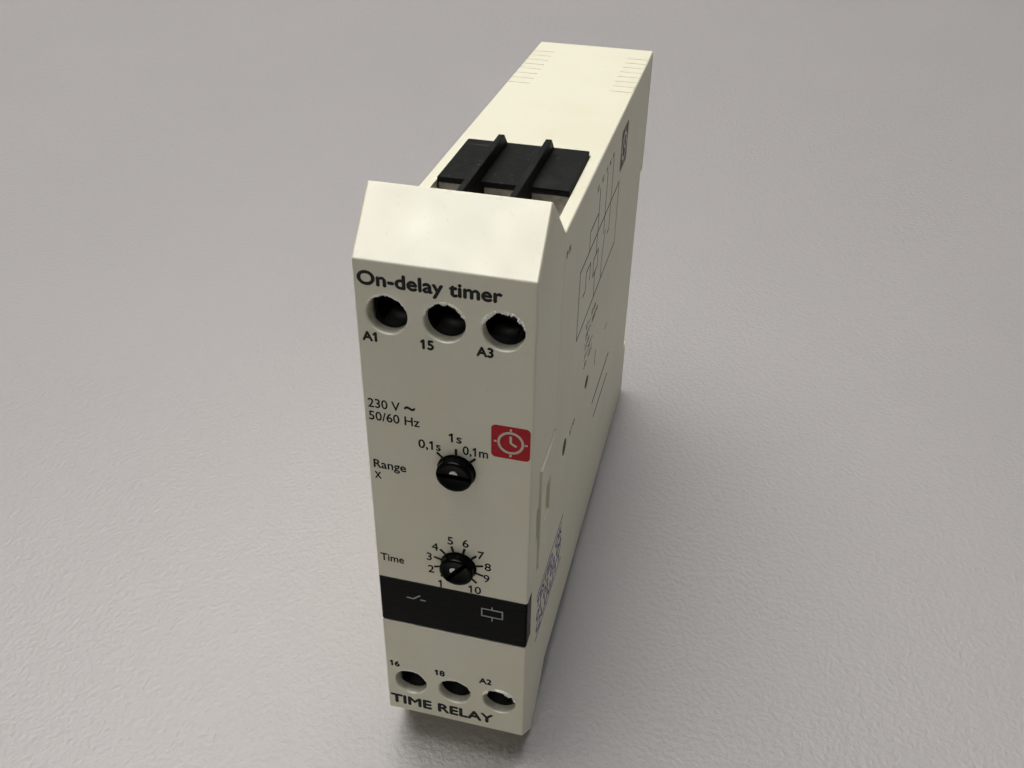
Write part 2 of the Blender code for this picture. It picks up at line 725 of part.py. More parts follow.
def make_din_clip():
    """The sliding foot that grips the rail's lower edge and is pulled down to let go."""
    low = -BODY_HALF_HEIGHT + GAP
    floor = CHANNEL_FLOOR + GAP
    rear = BODY_REAR - GAP
    section = [
        (-FLANGE_HALF, floor), (FLANGE_HALF, floor), (FLANGE_HALF, FLANGE_REAR),
        (STEM_HALF, FLANGE_REAR), (STEM_HALF, rear), (-STEM_HALF, rear),
        (-STEM_HALF, FLANGE_REAR), (-FLANGE_HALF, FLANGE_REAR),
    ]
    head_low = CHANNEL_TOP - 0.5
    clip = mesh_object("din_clip", prism_z(section, low, head_low), black_plastic())
    head = [
        (GAP, head_low - 0.6), (rear, head_low - 0.6), (rear, -HOOK_LOW - 0.8),
        (rear - 1.0, 0.2 - HOOK_LOW), (RAIL_LIP, 0.2 - HOOK_LOW), (RAIL_LIP, -RAIL_HALF - 0.1),
        (GAP, -RAIL_HALF - 0.1),
    ]
    boolean(clip, "UNION", prism_x(head, -8.0, 8.0))
    boolean(clip, "DIFFERENCE", boxes(
        ((-2.2, -3, -36.3), (2.2, 5, -26.0)),
        ((-1.75, 1.0, low - 1), (1.75, 2.2, -37.5)),
    ))
    return clip


def make_din_spring():
    """The compression spring in the clip's window, standing on the housing's lug."""
    low, high, radius, wire, turns = -34.5, -26.3, 1.5, 0.25, 5.5
    steps = int(turns * 12)
    path = bpy.data.curves.new("din_spring", "CURVE")
    path.dimensions = "3D"
    path.bevel_depth = wire * MM
    path.bevel_resolution = 1
    path.use_fill_caps = True
    line = path.splines.new("POLY")
    line.points.add(steps)
    for number, point in enumerate(line.points):
        angle = 2 * math.pi * turns * number / steps
        height = low + wire + (high - low - 2 * wire) * number / steps
        x, y = radius * math.cos(angle), 0.7 + radius * math.sin(angle)
        point.co = (x * MM, y * MM, height * MM, 1.0)
    spring = bpy.data.objects.new("din_spring", path)
    bpy.context.scene.collection.objects.link(spring)
    path.materials.append(bright_steel())
    return spring


def main():
    clear_scene()
    make_housing_body()
    make_front_cover()
    make_led_window()
    make_terminals()
    make_knob("range_knob", RANGE_Z, 0.0)
    make_knob("time_knob", TIME_Z, TIME_REST_DEG)
    make_shaft("range_shaft", RANGE_Z)
    make_shaft("time_shaft", TIME_Z)
    make_control_body("range_switch_body", RANGE_Z, black_plastic())
    make_control_body("time_pot_body", TIME_Z, blue_epoxy())
    make_main_board()
    make_front_board()
    make_lamp("led_relay", -5.5, red_lens())
    make_lamp("led_power", 6.0, green_lens())
    make_electronics()
    make_relay()
    make_relay_armature()
    make_relay_contacts()
    make_din_clip()
    make_din_spring()


main()
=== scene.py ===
"""The looks of a slim DIN-rail time relay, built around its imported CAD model.

Lengths are in millimetres in the row frame until a mesh is made, which turns them into metres:
x to the right, y into the rail, z up, with the operating face looking along -y.
"""

import math
import random

import bmesh
import bpy
from mathutils import Matrix, Vector


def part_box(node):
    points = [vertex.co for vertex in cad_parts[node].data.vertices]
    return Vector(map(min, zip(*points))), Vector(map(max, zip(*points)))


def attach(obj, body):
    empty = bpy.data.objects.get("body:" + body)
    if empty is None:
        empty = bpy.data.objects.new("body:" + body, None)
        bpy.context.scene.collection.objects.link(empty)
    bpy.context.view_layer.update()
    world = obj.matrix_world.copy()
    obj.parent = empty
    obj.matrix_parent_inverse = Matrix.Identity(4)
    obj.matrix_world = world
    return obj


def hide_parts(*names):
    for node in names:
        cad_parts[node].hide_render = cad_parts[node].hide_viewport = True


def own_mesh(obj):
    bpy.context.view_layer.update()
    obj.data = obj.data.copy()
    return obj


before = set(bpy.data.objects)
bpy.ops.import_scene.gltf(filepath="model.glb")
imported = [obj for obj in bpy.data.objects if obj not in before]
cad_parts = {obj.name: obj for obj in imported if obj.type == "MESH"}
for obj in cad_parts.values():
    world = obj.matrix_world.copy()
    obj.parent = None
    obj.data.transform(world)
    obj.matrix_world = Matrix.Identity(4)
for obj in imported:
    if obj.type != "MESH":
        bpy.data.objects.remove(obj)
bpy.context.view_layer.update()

MM = 0.001
GAP = 0.3
SEAM_GAP = 0.06  # what is left between the cover and the housing where they meet
WIDEST = 1.0  # the rounding that a bevel weight of 1 stands for
FILLET_SEGMENTS = 3


def span(node):
    """The lowest and the highest corner of a CAD node, in millimetres."""
    low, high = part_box(node)
    return low / MM, high / MM


def middle(node):
    low, high = span(node)
    return (low + high) / 2


# Housing
BODY_LOW, BODY_HIGH = span("housing_body")
HALF_WIDTH = BODY_HIGH.x
HALF_HEIGHT = BODY_HIGH.z
BODY_REAR = BODY_HIGH.y
TONGUE_FRONT = BODY_LOW.y
WALL = 1.75
INNER_HALF = HALF_WIDTH - WALL
BODY_FRONT = -80.9
TOP_WALL_FRONT = -54.45
TONGUE_LOW, TONGUE_HIGH = -9.05, 9.15
PAD_FRONT, PAD_REAR = 0.26, 0.12
CATCH_LOW, CATCH_HIGH = -2.8, 3.8
CATCH_FRONT, CATCH_REAR = -87.1, -84.1
SOFT_EDGE = 0.3
SEAM_EDGE = 0.1
LEDGE_EDGE = 0.45  # the rim beside the tongue, wide enough to catch the light

# Rail seat and clip
RAIL_HALF = 17.7
RAIL_LIP = 1.3
HOOK_LOW = 16.0
SEAT_HALF = 15.5
SEAT_RELIEF = 0.3
RECESS_LOW = -26.3
CHANNEL_FLOOR = -1.6
CHANNEL_TOP = -21.2
FLANGE_HALF, STEM_HALF = 5.6, 4.7
FLANGE_REAR = 0.9

# Front cover
COVER_LOW, COVER_HIGH = span("front_cover")
FACE = COVER_LOW.y
FACE_HALF_HEIGHT = 40.84
APEX = (-89.52, COVER_HIGH.z)
VALLEY = (COVER_HIGH.y, 40.3)
COVER_WALL = 1.6
FACE_WALL = 2.2
HOLE_PITCH = 7.25
HOLE_RADIUS = 2.575
HOLE_FLARE = 0.28
HOLE_LIP = 1.5  # how thick the face is in front of the terminal blocks
BLOCK_FRONT = FACE + HOLE_LIP + 0.05
SCREW_Z = 33.75
WINDOW_LOW, WINDOW_HIGH = span("led_window")
WINDOW_THICK = 1.5

# How torn the rim of each hole is
HOLE_TEARS = {"a1": 0.7, "15": 1.5, "a3": 1.9, "16": 0.5, "18": 0.6, "a2": 2.1}

# Knobs
RANGE_AT = middle("range_knob")
TIME_AT = middle("time_knob")
KNOB_RADIUS = 2.47
KNOB_SLOT_HALF = 0.3
KNOB_SLOT_REACH = 2.3
KNOB_FRONT = span("range_knob")[0].y
TIME_REST_DEG = -52.0  # the pointer of the time knob, clockwise from the top

# Terminals
TERMINAL_NAMES = {1: ("a1", "15", "a3"), -1: ("16", "18", "a2")}
BLOCK_LOW, BLOCK_HIGH = span("terminal_block_top")
CHAMBER_LOW = 26.0
CHAMBER_FRONT, CHAMBER_REAR = -87.2, -68.9
BLOCK_TOP = 38.3
PANEL_TOP, PANEL_THICK, PANEL_FRONT = 40.6, 0.8, -69.4
RIB_X, RIB_HALF_THICK = 3.55, 0.45
SCREW_HEAD_RADIUS, SCREW_RADIUS = 2.1, 1.4
SCREW_HEAD_REAR = -88.2
TAB_FRONT, TAB_REAR = -78.5, -77.5

# Printing
INK = 0.02
LAYER = 0.001  # keeps the shifted copies that make a word bold apart
FRONT_PLANE = Matrix(((1, 0, 0, 0), (0, 0, -1, FACE), (0, 1, 0, 0), (0, 0, 0, 1)))
SIDE_PLANE = Matrix(((0, 0, 1, HALF_WIDTH), (1, 0, 0, 0), (0, 1, 0, 0), (0, 0, 0, 1)))


# ---------------------------------------------------------------- materials


class Finish:
    """A Principled material, and the short ways to put procedural detail on it.

    Methods end with the size in millimetres, the detail and the stretch of the noise they use.
    """

    def __init__(self, name, colour, roughness, metallic=0.0):
        self.material = bpy.data.materials.new(name)
        self.material.use_nodes = True
        self.tree = self.material.node_tree
        self.shader = self.tree.nodes["Principled BSDF"]
        self.colour = (*colour, 1.0)
        self.shine(Base_Color=self.colour, Roughness=roughness, Metallic=metallic)
        self.where = self.tree.nodes.new("ShaderNodeTexCoord").outputs["Object"]

    def shine(self, **inputs):
        """Uniform values, straight on the shader."""
        for name, value in inputs.items():
            self.shader.inputs[name.replace("_", " ")].default_value = value

    def node(self, kind, **inputs):
        """A node, with a value or a link for each input."""
        made = self.tree.nodes.new(f"ShaderNode{kind}")
        for name, value in inputs.items():
            socket = made.inputs[name.replace("_", " ")]
            if isinstance(value, bpy.types.NodeSocket):
                self.tree.links.new(value, socket)
            else:
                socket.default_value = value
        return made

    def noise(self, size, detail=3.0, stretch=None):
        """Noise whose features are about size millimetres wide."""
        place = self.where
        if stretch is not None:
            place = self.node("Mapping", Vector=place, Scale=stretch).outputs["Vector"]
        scale = 1.0 / (size * MM)
        return self.node("TexNoise", Vector=place, Scale=scale, Detail=detail).outputs["Fac"]

    def level(self):
        """How far up or down from the middle of the timer a place is, in metres."""
        size = self.node("Math")
        size.operation = "ABSOLUTE"
        split = self.node("SeparateXYZ", Vector=self.where)
        self.tree.links.new(split.outputs["Z"], size.inputs[0])
        return size.outputs["Value"]

    def ramp(self, factor, low, high):
        """factor between low and high, spread over 0 to 1."""
        return self.node("MapRange", Value=factor, From_Min=low, From_Max=high).outputs["Result"]

    def tint(self, factor, colour):
        """Mixes colour into the base colour by factor."""
        node = self.tree.nodes.new("ShaderNodeMix")
        node.data_type = "RGBA"
        base = self.shader.inputs["Base Color"]
        if base.is_linked:
            self.tree.links.new(base.links[0].from_socket, node.inputs["A"])
        else:
            node.inputs["A"].default_value = self.colour
        node.inputs["B"].default_value = (*colour, 1.0)
        self.tree.links.new(factor, node.inputs["Factor"])
        self.tree.links.new(node.outputs["Result"], base)

    def mottle(self, colour, low, high, *noise):
        """Patches of colour where the noise lies above low, full from high on."""
        self.tint(self.ramp(self.noise(*noise), low, high), colour)

    def gloss(self, low, high, *noise):
        """Roughness between low and high."""
        spread = self.node("MapRange", Value=self.noise(*noise), To_Min=low, To_Max=high)
        self.tree.links.new(spread.outputs["Result"], self.shader.inputs["Roughness"])

    def relief(self, depth, strength, *noise):
        """Bump of depth millimetres."""
        bump = self.node("Bump", Height=self.noise(*noise), Distance=depth * MM, Strength=strength)
        normal = self.shader.inputs["Normal"]
        if normal.is_linked:
            self.tree.links.new(normal.links[0].from_socket, bump.inputs["Normal"])
        self.tree.links.new(bump.outputs["Normal"], normal)


finishes = {}


def cream_plastic():
    """Moulded cream plastic, finely eroded, a little yellowed in places and rubbed on its grain."""
    made = Finish("cream_plastic", (0.79, 0.75, 0.58), 0.5)
    made.mottle((0.77, 0.715, 0.53), 0.42, 0.75, 14.0)
    made.mottle((0.70, 0.67, 0.55), 0.62, 0.8, 0.8, 5.0)
    made.gloss(0.42, 0.62, 5.0, 4.0)
    made.relief(0.006, 0.55, 0.16, 2.0)
    made.relief(0.05, 0.08, 9.0, 1.0)
    return made


def ragged_cream_and_highlight():
    """Torn plastic at the rim of a hole: rougher than the moulded face, and paler partly as torn
    plastic and partly as a painted highlight along the upper rims.
    """
    made = Finish("ragged_cream_and_highlight", (0.93, 0.91, 0.83), 0.6)
    made.mottle((0.72, 0.69, 0.58), 0.4, 0.7, 0.2)
    made.relief(0.02, 1.0, 0.1)
    return made


def terminal_black():
    """Satin black moulding, dusty and rubbed outside, and darkened to near black by painted shade
    below the top of the block, in its chambers and tunnels.
    """
    made = Finish("terminal_black", (0.016, 0.016, 0.014), 0.42)
    made.mottle((0.03, 0.03, 0.027), 0.5, 0.85, 6.0, 4.0)
    made.mottle((0.13, 0.125, 0.11), 0.66, 0.8, 0.5, 3.0)
    made.mottle((0.05, 0.05, 0.045), 0.68, 0.74, 2.4, 2.0, (0.25, 1.0, 1.0))
    # Painted shade: from just under the top of the block downwards, into the chambers and screw
    # tunnels, the colour fades to near black.
    painted_shade_start, painted_shade_full = (BLOCK_TOP - 0.5) * MM, (BLOCK_TOP - 1.1) * MM
    made.tint(made.ramp(made.level(), painted_shade_start, painted_shade_full), (0.002, 0.002, 0.002))
    made.gloss(0.4, 0.62, 1.2, 4.0)
    made.relief(0.006, 0.6, 0.14, 2.0)
    made.shine(Specular_IOR_Level=0.04)
    return made


def knob_black():
    made = Finish("knob_black", (0.002, 0.002, 0.002), 0.3)
    made.mottle((0.014, 0.014, 0.014), 0.66, 0.8, 0.3, 3.0)
    made.shine(Specular_IOR_Level=0.035)
    made.gloss(0.16, 0.3, 0.7, 4.0)
    made.relief(0.006, 0.5, 0.25, 2.0)
    return made


def smoked_window():
    """Dark tinted plastic, glossy, with hairline wipe marks."""
    made = Finish("smoked_window", (0.003, 0.003, 0.0032), 0.25)
    made.mottle((0.005, 0.005, 0.005), 0.5, 0.8, 3.0, 4.0)
    made.mottle((0.03, 0.03, 0.03), 0.76, 0.82, 0.3, 1.0)
    made.gloss(0.18, 0.4, 0.9, 5.0, (0.15, 1.0, 1.0))
    made.relief(0.003, 0.15, 0.4, 2.0, (0.1, 1.0, 1.0))
    made.shine(Specular_IOR_Level=0.035)
    return made


def clip_black():
    made = Finish("clip_black", (0.016, 0.016, 0.017), 0.45)
    made.mottle((0.035, 0.035, 0.036), 0.45, 0.8, 3.0, 4.0)
    made.gloss(0.35, 0.6, 0.8, 4.0)
    made.relief(0.008, 0.6, 0.2, 2.0)
    return made


def zinc_steel():
    """Zinc plate over steel: cool grey, cloudy, with fine drawn lines."""
    made = Finish("zinc_steel", (0.50, 0.47, 0.43), 0.4, 0.7)
    made.mottle((0.37, 0.34, 0.30), 0.4, 0.75, 1.6, 4.0)
    made.gloss(0.26, 0.5, 0.5, 4.0)
    made.relief(0.004, 0.5, 0.12, 2.0, (1.0, 1.0, 0.12))
    return made


def screw_steel():
    """Plated steel of the terminal screws, dulled by age."""
    made = Finish("screw_steel", (0.16, 0.15, 0.13), 0.6, 0.5)
    made.mottle((0.09, 0.082, 0.07), 0.4, 0.7, 0.9, 4.0)
    made.relief(0.006, 0.5, 0.2, 2.0)
    return made


def dull_zinc():
    made = Finish("dull_zinc", (0.25, 0.23, 0.19), 0.55, 0.3)
    made.mottle((0.15, 0.135, 0.11), 0.4, 0.7, 1.2, 4.0)
    made.relief(0.01, 0.5, 0.3, 2.0)
    return made


def tinned_copper():
    made = Finish("tinned_copper", (0.70, 0.66, 0.58), 0.36, 1.0)
    made.mottle((0.60, 0.47, 0.34), 0.5, 0.8, 1.1, 4.0)
    made.gloss(0.28, 0.5, 0.6, 4.0)
    made.relief(0.004, 0.5, 0.2, 2.0)
    return made


def board_green():
    """Solder resist over glass cloth, whose weave shows through."""
    made = Finish("board_green", (0.022, 0.11, 0.045), 0.32)
    made.mottle((0.035, 0.15, 0.06), 0.5, 0.7, 0.9, 1.0, (1.0, 1.0, 0.2))
    made.gloss(0.25, 0.42, 1.5, 4.0)
    made.relief(0.008, 0.5, 0.5, 1.0, (1.0, 0.3, 1.0))
    return made


def component_black():
    made = Finish("component_black", (0.018, 0.018, 0.019), 0.5)
    made.mottle((0.04, 0.04, 0.042), 0.5, 0.8, 0.7, 3.0)
    made.relief(0.01, 0.6, 0.15, 2.0)
    return made


def component_blue():
    """Dipped epoxy, glossy and slightly orange-peeled."""
    made = Finish("component_blue", (0.012, 0.07, 0.26), 0.3)
    made.mottle((0.02, 0.10, 0.32), 0.45, 0.8, 2.0, 3.0)
    made.gloss(0.2, 0.36, 0.8, 3.0)
    made.relief(0.02, 0.5, 1.2, 2.0)
    return made


def relay_case():
    made = Finish("relay_case", (0.02, 0.09, 0.27), 0.35)
    made.mottle((0.025, 0.11, 0.31), 0.45, 0.8, 5.0, 3.0)
    made.gloss(0.28, 0.44, 0.9, 3.0)
    made.relief(0.006, 0.5, 0.18, 2.0)
    return made


def lens(name, colour, depth):
    made = Finish(name, colour, 0.15)
    made.mottle(depth, 0.4, 0.8, 0.6, 3.0)
    made.gloss(0.08, 0.2, 0.5, 3.0)
    made.shine(Coat_Weight=0.5)
    return made


def red_lens():
    return lens("red_lens", (0.45, 0.02, 0.015), (0.25, 0.01, 0.01))


def green_lens():
    return lens("green_lens", (0.04, 0.35, 0.07), (0.02, 0.2, 0.04))


def copper_wire():
    """Enamelled wire: the turns run round the coil, so the bands lie across its axis."""
    made = Finish("copper_wire", (0.50, 0.19, 0.07), 0.32, 0.8)
    made.mottle((0.30, 0.10, 0.04), 0.4, 0.6, 0.5, 1.0, (0.1, 0.1, 2.0))
    made.relief(0.05, 0.8, 0.4, 1.0, (0.1, 0.1, 2.0))
    return made


def ceramic_white():
    made = Finish("ceramic_white", (0.76, 0.74, 0.68), 0.45)
    made.mottle((0.62, 0.60, 0.54), 0.5, 0.75, 0.8, 4.0)
    made.gloss(0.35, 0.55, 0.9, 3.0)
    made.relief(0.02, 0.6, 0.25, 3.0)
    return made


# Each ink's colour, its colour where it is worn, its roughness, and how far wear has gone
INKS = {
    "black_ink": ((0.006, 0.006, 0.005), (0.05, 0.048, 0.04), 0.6, 0.66),
    "grey_ink": ((0.02, 0.02, 0.019), (0.15, 0.145, 0.13), 0.55, 0.55),
    "window_ink": ((0.42, 0.42, 0.43), (0.20, 0.20, 0.21), 0.5, 0.62),
    "red_ink": ((0.50, 0.008, 0.016), (0.52, 0.05, 0.05), 0.6, 0.62),
    "dull_red_ink": ((0.11, 0.045, 0.045), (0.24, 0.17, 0.15), 0.5, 0.5),
    "pale_ink": ((0.70, 0.66, 0.54), (0.60, 0.50, 0.42), 0.5, 0.62),
    "violet_ink": ((0.085, 0.07, 0.20), (0.33, 0.31, 0.35), 0.6, 0.45),
    "pointer_white": ((0.82, 0.82, 0.80), (0.60, 0.60, 0.58), 0.5, 0.62),
}


def ink(name):
    """Printing ink that thins out in specks, where the plastic shows through."""
    colour, worn, roughness, patchy = INKS[name]
    made = Finish(name, colour, roughness)
    made.mottle(worn, patchy, patchy + 0.18, 0.35, 4.0)
    made.gloss(roughness - 0.1, roughness + 0.1, 0.6, 3.0)
    made.relief(0.004, 0.5, 0.2, 2.0)
    made.shine(Specular_IOR_Level=0.12)
    return made


def finish(make):
    """The material that a function makes, or the ink of that name, made once."""
    name = make if make in INKS else make.__name__
    if name not in finishes:
        made = ink(name) if make in INKS else make()
        finishes[name] = made.material
    return finishes[name]


# ---------------------------------------------------------------- mesh helpers


def swept(axis, along, a, b):
    """A point of an outline: (y, z) swept along x, (x, z) along y, or (x, y) along z."""
    return {"x": (along, a, b), "y": (a, along, b), "z": (a, b, along)}[axis]


def prism(outline, low, high, axis="x"):
    """Sweeps an outline of (a, b, corner, rim). corner rounds the swept edge at that point, and rim
    rounds the two edges from there to the next point. Both may be left out."""
    bm = bmesh.new()
    weight = bm.edges.layers.float.new("bevel_weight_edge")
    ends = [[bm.verts.new(swept(axis, t, p[0], p[1])) for p in outline] for t in (low, high)]
    bm.faces.new(ends[0])
    bm.faces.new(list(reversed(ends[1])))
    for index, corner in enumerate(outline):
        after = (index + 1) % len(outline)
        bm.faces.new((ends[0][index], ends[1][index], ends[1][after], ends[0][after]))
        rounding, rim = (*corner[2:], 0.0, 0.0)[:2]
        bm.edges.get((ends[0][index], ends[1][index]))[weight] = rounding / WIDEST
        for end in ends:
            bm.edges.get((end[index], end[after]))[weight] = rim / WIDEST
    return bm


def add_box(bm, low, high):
    made = bmesh.ops.create_cube(bm, size=1.0)["verts"]
    bmesh.ops.scale(bm, vec=Vector(high) - Vector(low), verts=made)
    bmesh.ops.translate(bm, vec=(Vector(low) + Vector(high)) / 2, verts=made)


def boxes(*corners):
    bm = bmesh.new()
    for low, high in corners:
        add_box(bm, low, high)
    return bm


def soft_box(low, high, rounding):
    """A box with every edge rounded."""
    bm = boxes((low, high))
    weight = bm.edges.layers.float.new("bevel_weight_edge")
    for edge in bm.edges:
        edge[weight] = rounding / WIDEST
    return bm


def add_turned(bm, profile, centre=(0, 0, 0), axis=(0, 1, 0), steps=48):
    """A profile of (radius, distance along axis) points, spun about the axis through centre."""
    along = Vector(axis)
    across = Vector((0, 0, 1)) if abs(along.z) < 0.5 else Vector((1, 0, 0))
    points = [bm.verts.new(Vector(centre) + across * r + along * h) for r, h in profile]
    edges = [bm.edges.new(pair) for pair in zip(points, points[1:])]
    bmesh.ops.spin(
        bm, geom=points + edges, cent=centre, axis=along, angle=2 * math.pi, steps=steps,
        use_merge=True,
    )
    bmesh.ops.remove_doubles(bm, verts=bm.verts, dist=1e-4)


def turned(profile, centre=(0, 0, 0), axis=(0, 1, 0), steps=48):
    bm = bmesh.new()
    add_turned(bm, profile, centre, axis, steps)
    return bm


def linked(item):
    bpy.context.scene.collection.objects.link(item)
    return item


def make_object(name, bm):
    """A closed mesh in millimetres becomes an object in metres."""
    bmesh.ops.scale(bm, vec=(MM, MM, MM), verts=bm.verts)
    bmesh.ops.recalc_face_normals(bm, faces=bm.faces)
    mesh = bpy.data.meshes.new(name)
    bm.to_mesh(mesh)
    bm.free()
    return linked(bpy.data.objects.new(name, mesh))


def rounded(name, bm):
    """A piece whose weighted edges are rounded before anything is cut out of it."""
    made = make_object(name, bm)
    bevel = made.modifiers.new("edges", "BEVEL")
    bevel.limit_method = "WEIGHT"
    bevel.width = WIDEST * MM
    bevel.segments = FILLET_SEGMENTS
    bevel.use_clamp_overlap = False
    return made


def carve(piece, operation, tool):
    """Cuts tool out of piece, or unites the two. tool is a bmesh or an object."""
    if isinstance(tool, bmesh.types.BMesh):
        tool = make_object(f"{piece.name}_tool", tool)
    change = piece.modifiers.new(operation.title(), "BOOLEAN")
    change.operation = operation
    change.solver = "EXACT"
    change.object = tool
    return tool


def evaluated_mesh(item):
    """What a curve, a text or a piece with modifiers looks like, as a mesh."""
    bpy.context.view_layer.update()
    graph = bpy.context.evaluated_depsgraph_get()
    return bpy.data.meshes.new_from_object(item.evaluated_get(graph))


def settle(piece, sharp_deg=32.0):
    """Applies every modifier, drops the tools, and shades round stretches smooth."""
    mesh = evaluated_mesh(piece)
    tools = [change.object for change in piece.modifiers if change.type == "BOOLEAN"]
    piece.modifiers.clear()
    piece.data = mesh
    mesh.name = piece.name
    for tool in tools:
        bpy.data.objects.remove(tool)
    bm = bmesh.new()
    bm.from_mesh(mesh)
    bmesh.ops.remove_doubles(bm, verts=bm.verts, dist=1e-7)
    bmesh.ops.dissolve_degenerate(bm, edges=bm.edges, dist=1e-7)
    bm.to_mesh(mesh)
    bm.free()
    mesh.shade_smooth()
    mesh.set_sharp_from_angle(angle=math.radians(sharp_deg))
    normals = piece.modifiers.new("normals", "WEIGHTED_NORMAL")
    normals.keep_sharp = True
    return piece


def dress(piece, body, make, slot, *nodes):
    """Gives a piece its material, its body and the CAD nodes that it stands for; slot is not used."""
    piece.data.materials.clear()
    piece.data.materials.append(finish(make))
    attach(piece, body)
    if nodes:
        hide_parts(*nodes)
    return piece


def inner_corner(before, corner, after, inset):
    """Where two walls of a convex corner meet on their inner sides."""
    into = (Vector(corner) - Vector(before)).normalized()
    out = (Vector(after) - Vector(corner)).normalized()
    half = math.acos(max(-1.0, min(1.0, into.dot(out)))) / 2
    return Vector(corner) + (out - into).normalized() * (inset / math.cos(half))


# ---------------------------------------------------------------- housing


def make_body_shell():
    """The open-fronted box, with its rail seat, clip channel, snap windows and vents."""
    h, edge, seam = HALF_HEIGHT, SOFT_EDGE, SEAM_EDGE
    outline = [
        (BODY_FRONT, -h, seam, edge), (BODY_REAR, -h, edge, edge),
        (BODY_REAR, RECESS_LOW, 0.25, 0.2), (-SEAT_RELIEF, RECESS_LOW, 0, 0.1),
        (-SEAT_RELIEF, -SEAT_HALF, 0, 0), (0, -SEAT_HALF, 0.1, 0.15), (0, SEAT_HALF, 0.1, 0),
        (-SEAT_RELIEF, SEAT_HALF, 0, 0), (-SEAT_RELIEF, RAIL_HALF, 0, 0),
        (RAIL_LIP, RAIL_HALF, 0, 0), (RAIL_LIP, HOOK_LOW, 0.2, 0.1),
        (BODY_REAR, HOOK_LOW, 0.3, edge), (BODY_REAR, h, edge, edge),
        (BODY_FRONT, h, seam, 0.05), (BODY_FRONT, TONGUE_HIGH, 0, LEDGE_EDGE),
        (TONGUE_FRONT, TONGUE_HIGH, 0.2, seam), (TONGUE_FRONT, TONGUE_LOW, 0.2, seam),
        (BODY_FRONT, TONGUE_LOW, 0, seam),
    ]
    body = rounded("body_shell", prism(outline, -HALF_WIDTH, HALF_WIDTH))
    inner = h - WALL
    channel_back, channel_end = CHANNEL_FLOOR - WALL, CHANNEL_TOP + WALL
    cavity = [
        (FACE, -inner), (channel_back, -inner), (channel_back, channel_end),
        (-WALL, channel_end), (-WALL, RAIL_HALF + WALL),
        (BODY_REAR - WALL, RAIL_HALF + WALL), (BODY_REAR - WALL, inner), (FACE, inner),
    ]
    carve(body, "DIFFERENCE", prism(cavity, -INNER_HALF, INNER_HALF))
    for side in (1, -1):
        carve(body, "UNION", tongue_pad(side))
    carve(body, "DIFFERENCE", boxes(*terminal_openings()))
    for side in (1, -1):
        carve(body, "DIFFERENCE", side_slot(side, CATCH_FRONT, CATCH_REAR, CATCH_LOW, CATCH_HIGH))
    carve(body, "DIFFERENCE", clip_channel())
    carve(body, "DIFFERENCE", vent_slits())
    carve(body, "UNION", boxes(spring_lug()))
    settle(body)
    return dress(body, "housing", cream_plastic, "cream_plastic", "housing_body")


def tongue_pad(side):
    """The tongue stands a little proud of the cover, most at its front end."""
    inside, front, rear = HALF_WIDTH - 0.5, TONGUE_FRONT, BODY_FRONT - 0.2
    outline = [
        (inside, front), (HALF_WIDTH + PAD_FRONT, front), (HALF_WIDTH + PAD_REAR, rear),
        (inside, rear),
    ]
    return prism([(side * x, y) for x, y in outline], TONGUE_LOW, TONGUE_HIGH, "z")


def terminal_openings():
    """The top and the bottom are open in front, where the terminal blocks fill them."""
    for side in (1, -1):
        level = side * HALF_HEIGHT
        yield (-INNER_HALF, FACE, level - 3), (INNER_HALF, TOP_WALL_FRONT, level + 3)


def side_slot(side, front, rear, low, high):
    """A slot through a side wall, whose lower end slopes outwards."""
    deep, out, slope = HALF_WIDTH - 3, HALF_WIDTH + 1, 1.1
    outline = [
        (deep, low + slope), (HALF_WIDTH - slope, low + slope), (HALF_WIDTH, low),
        (out, low), (out, high), (deep, high),
    ]
    return prism([(side * x, z) for x, z in outline], front, rear, "y")


def clip_channel():
    """A T-shaped channel in the lower part of the back, open below and into the rail recess."""
    wide, narrow = FLANGE_HALF + GAP, STEM_HALF + GAP
    lip = FLANGE_REAR + GAP
    outline = [
        (-wide, CHANNEL_FLOOR), (wide, CHANNEL_FLOOR), (wide, lip), (narrow, lip),
        (narrow, BODY_REAR + 1), (-narrow, BODY_REAR + 1), (-narrow, lip), (-wide, lip),
    ]
    return prism(outline, -HALF_HEIGHT - 1, CHANNEL_TOP, "z")


def spring_lug():
    """The fixed stop that the clip's spring stands on, inside the clip's window."""
    return (-1.9, CHANNEL_FLOOR - 0.8, -36.0), (1.9, 2.6, -34.8)


def vent_slits():
    """Rows of fine slits across both corners of the top and bottom, over the electronics."""
    count, pitch, width, first, inner_x = 8, 2.88, 0.3, -23.5, 7.1
    deep, clear = HALF_HEIGHT - 0.09, HALF_HEIGHT + 1
    bm = bmesh.new()
    for level in (1, -1):
        z_low, z_high = sorted((level * deep, level * clear))
        for side in (1, -1):
            x_low, x_high = sorted((side * inner_x, side * (HALF_WIDTH + 1)))
            for number in range(count):
                y = first + number * pitch
                add_box(bm, (x_low, y - width / 2, z_low), (x_high, y + width / 2, z_high))
    return bm


# ---------------------------------------------------------------- front cover


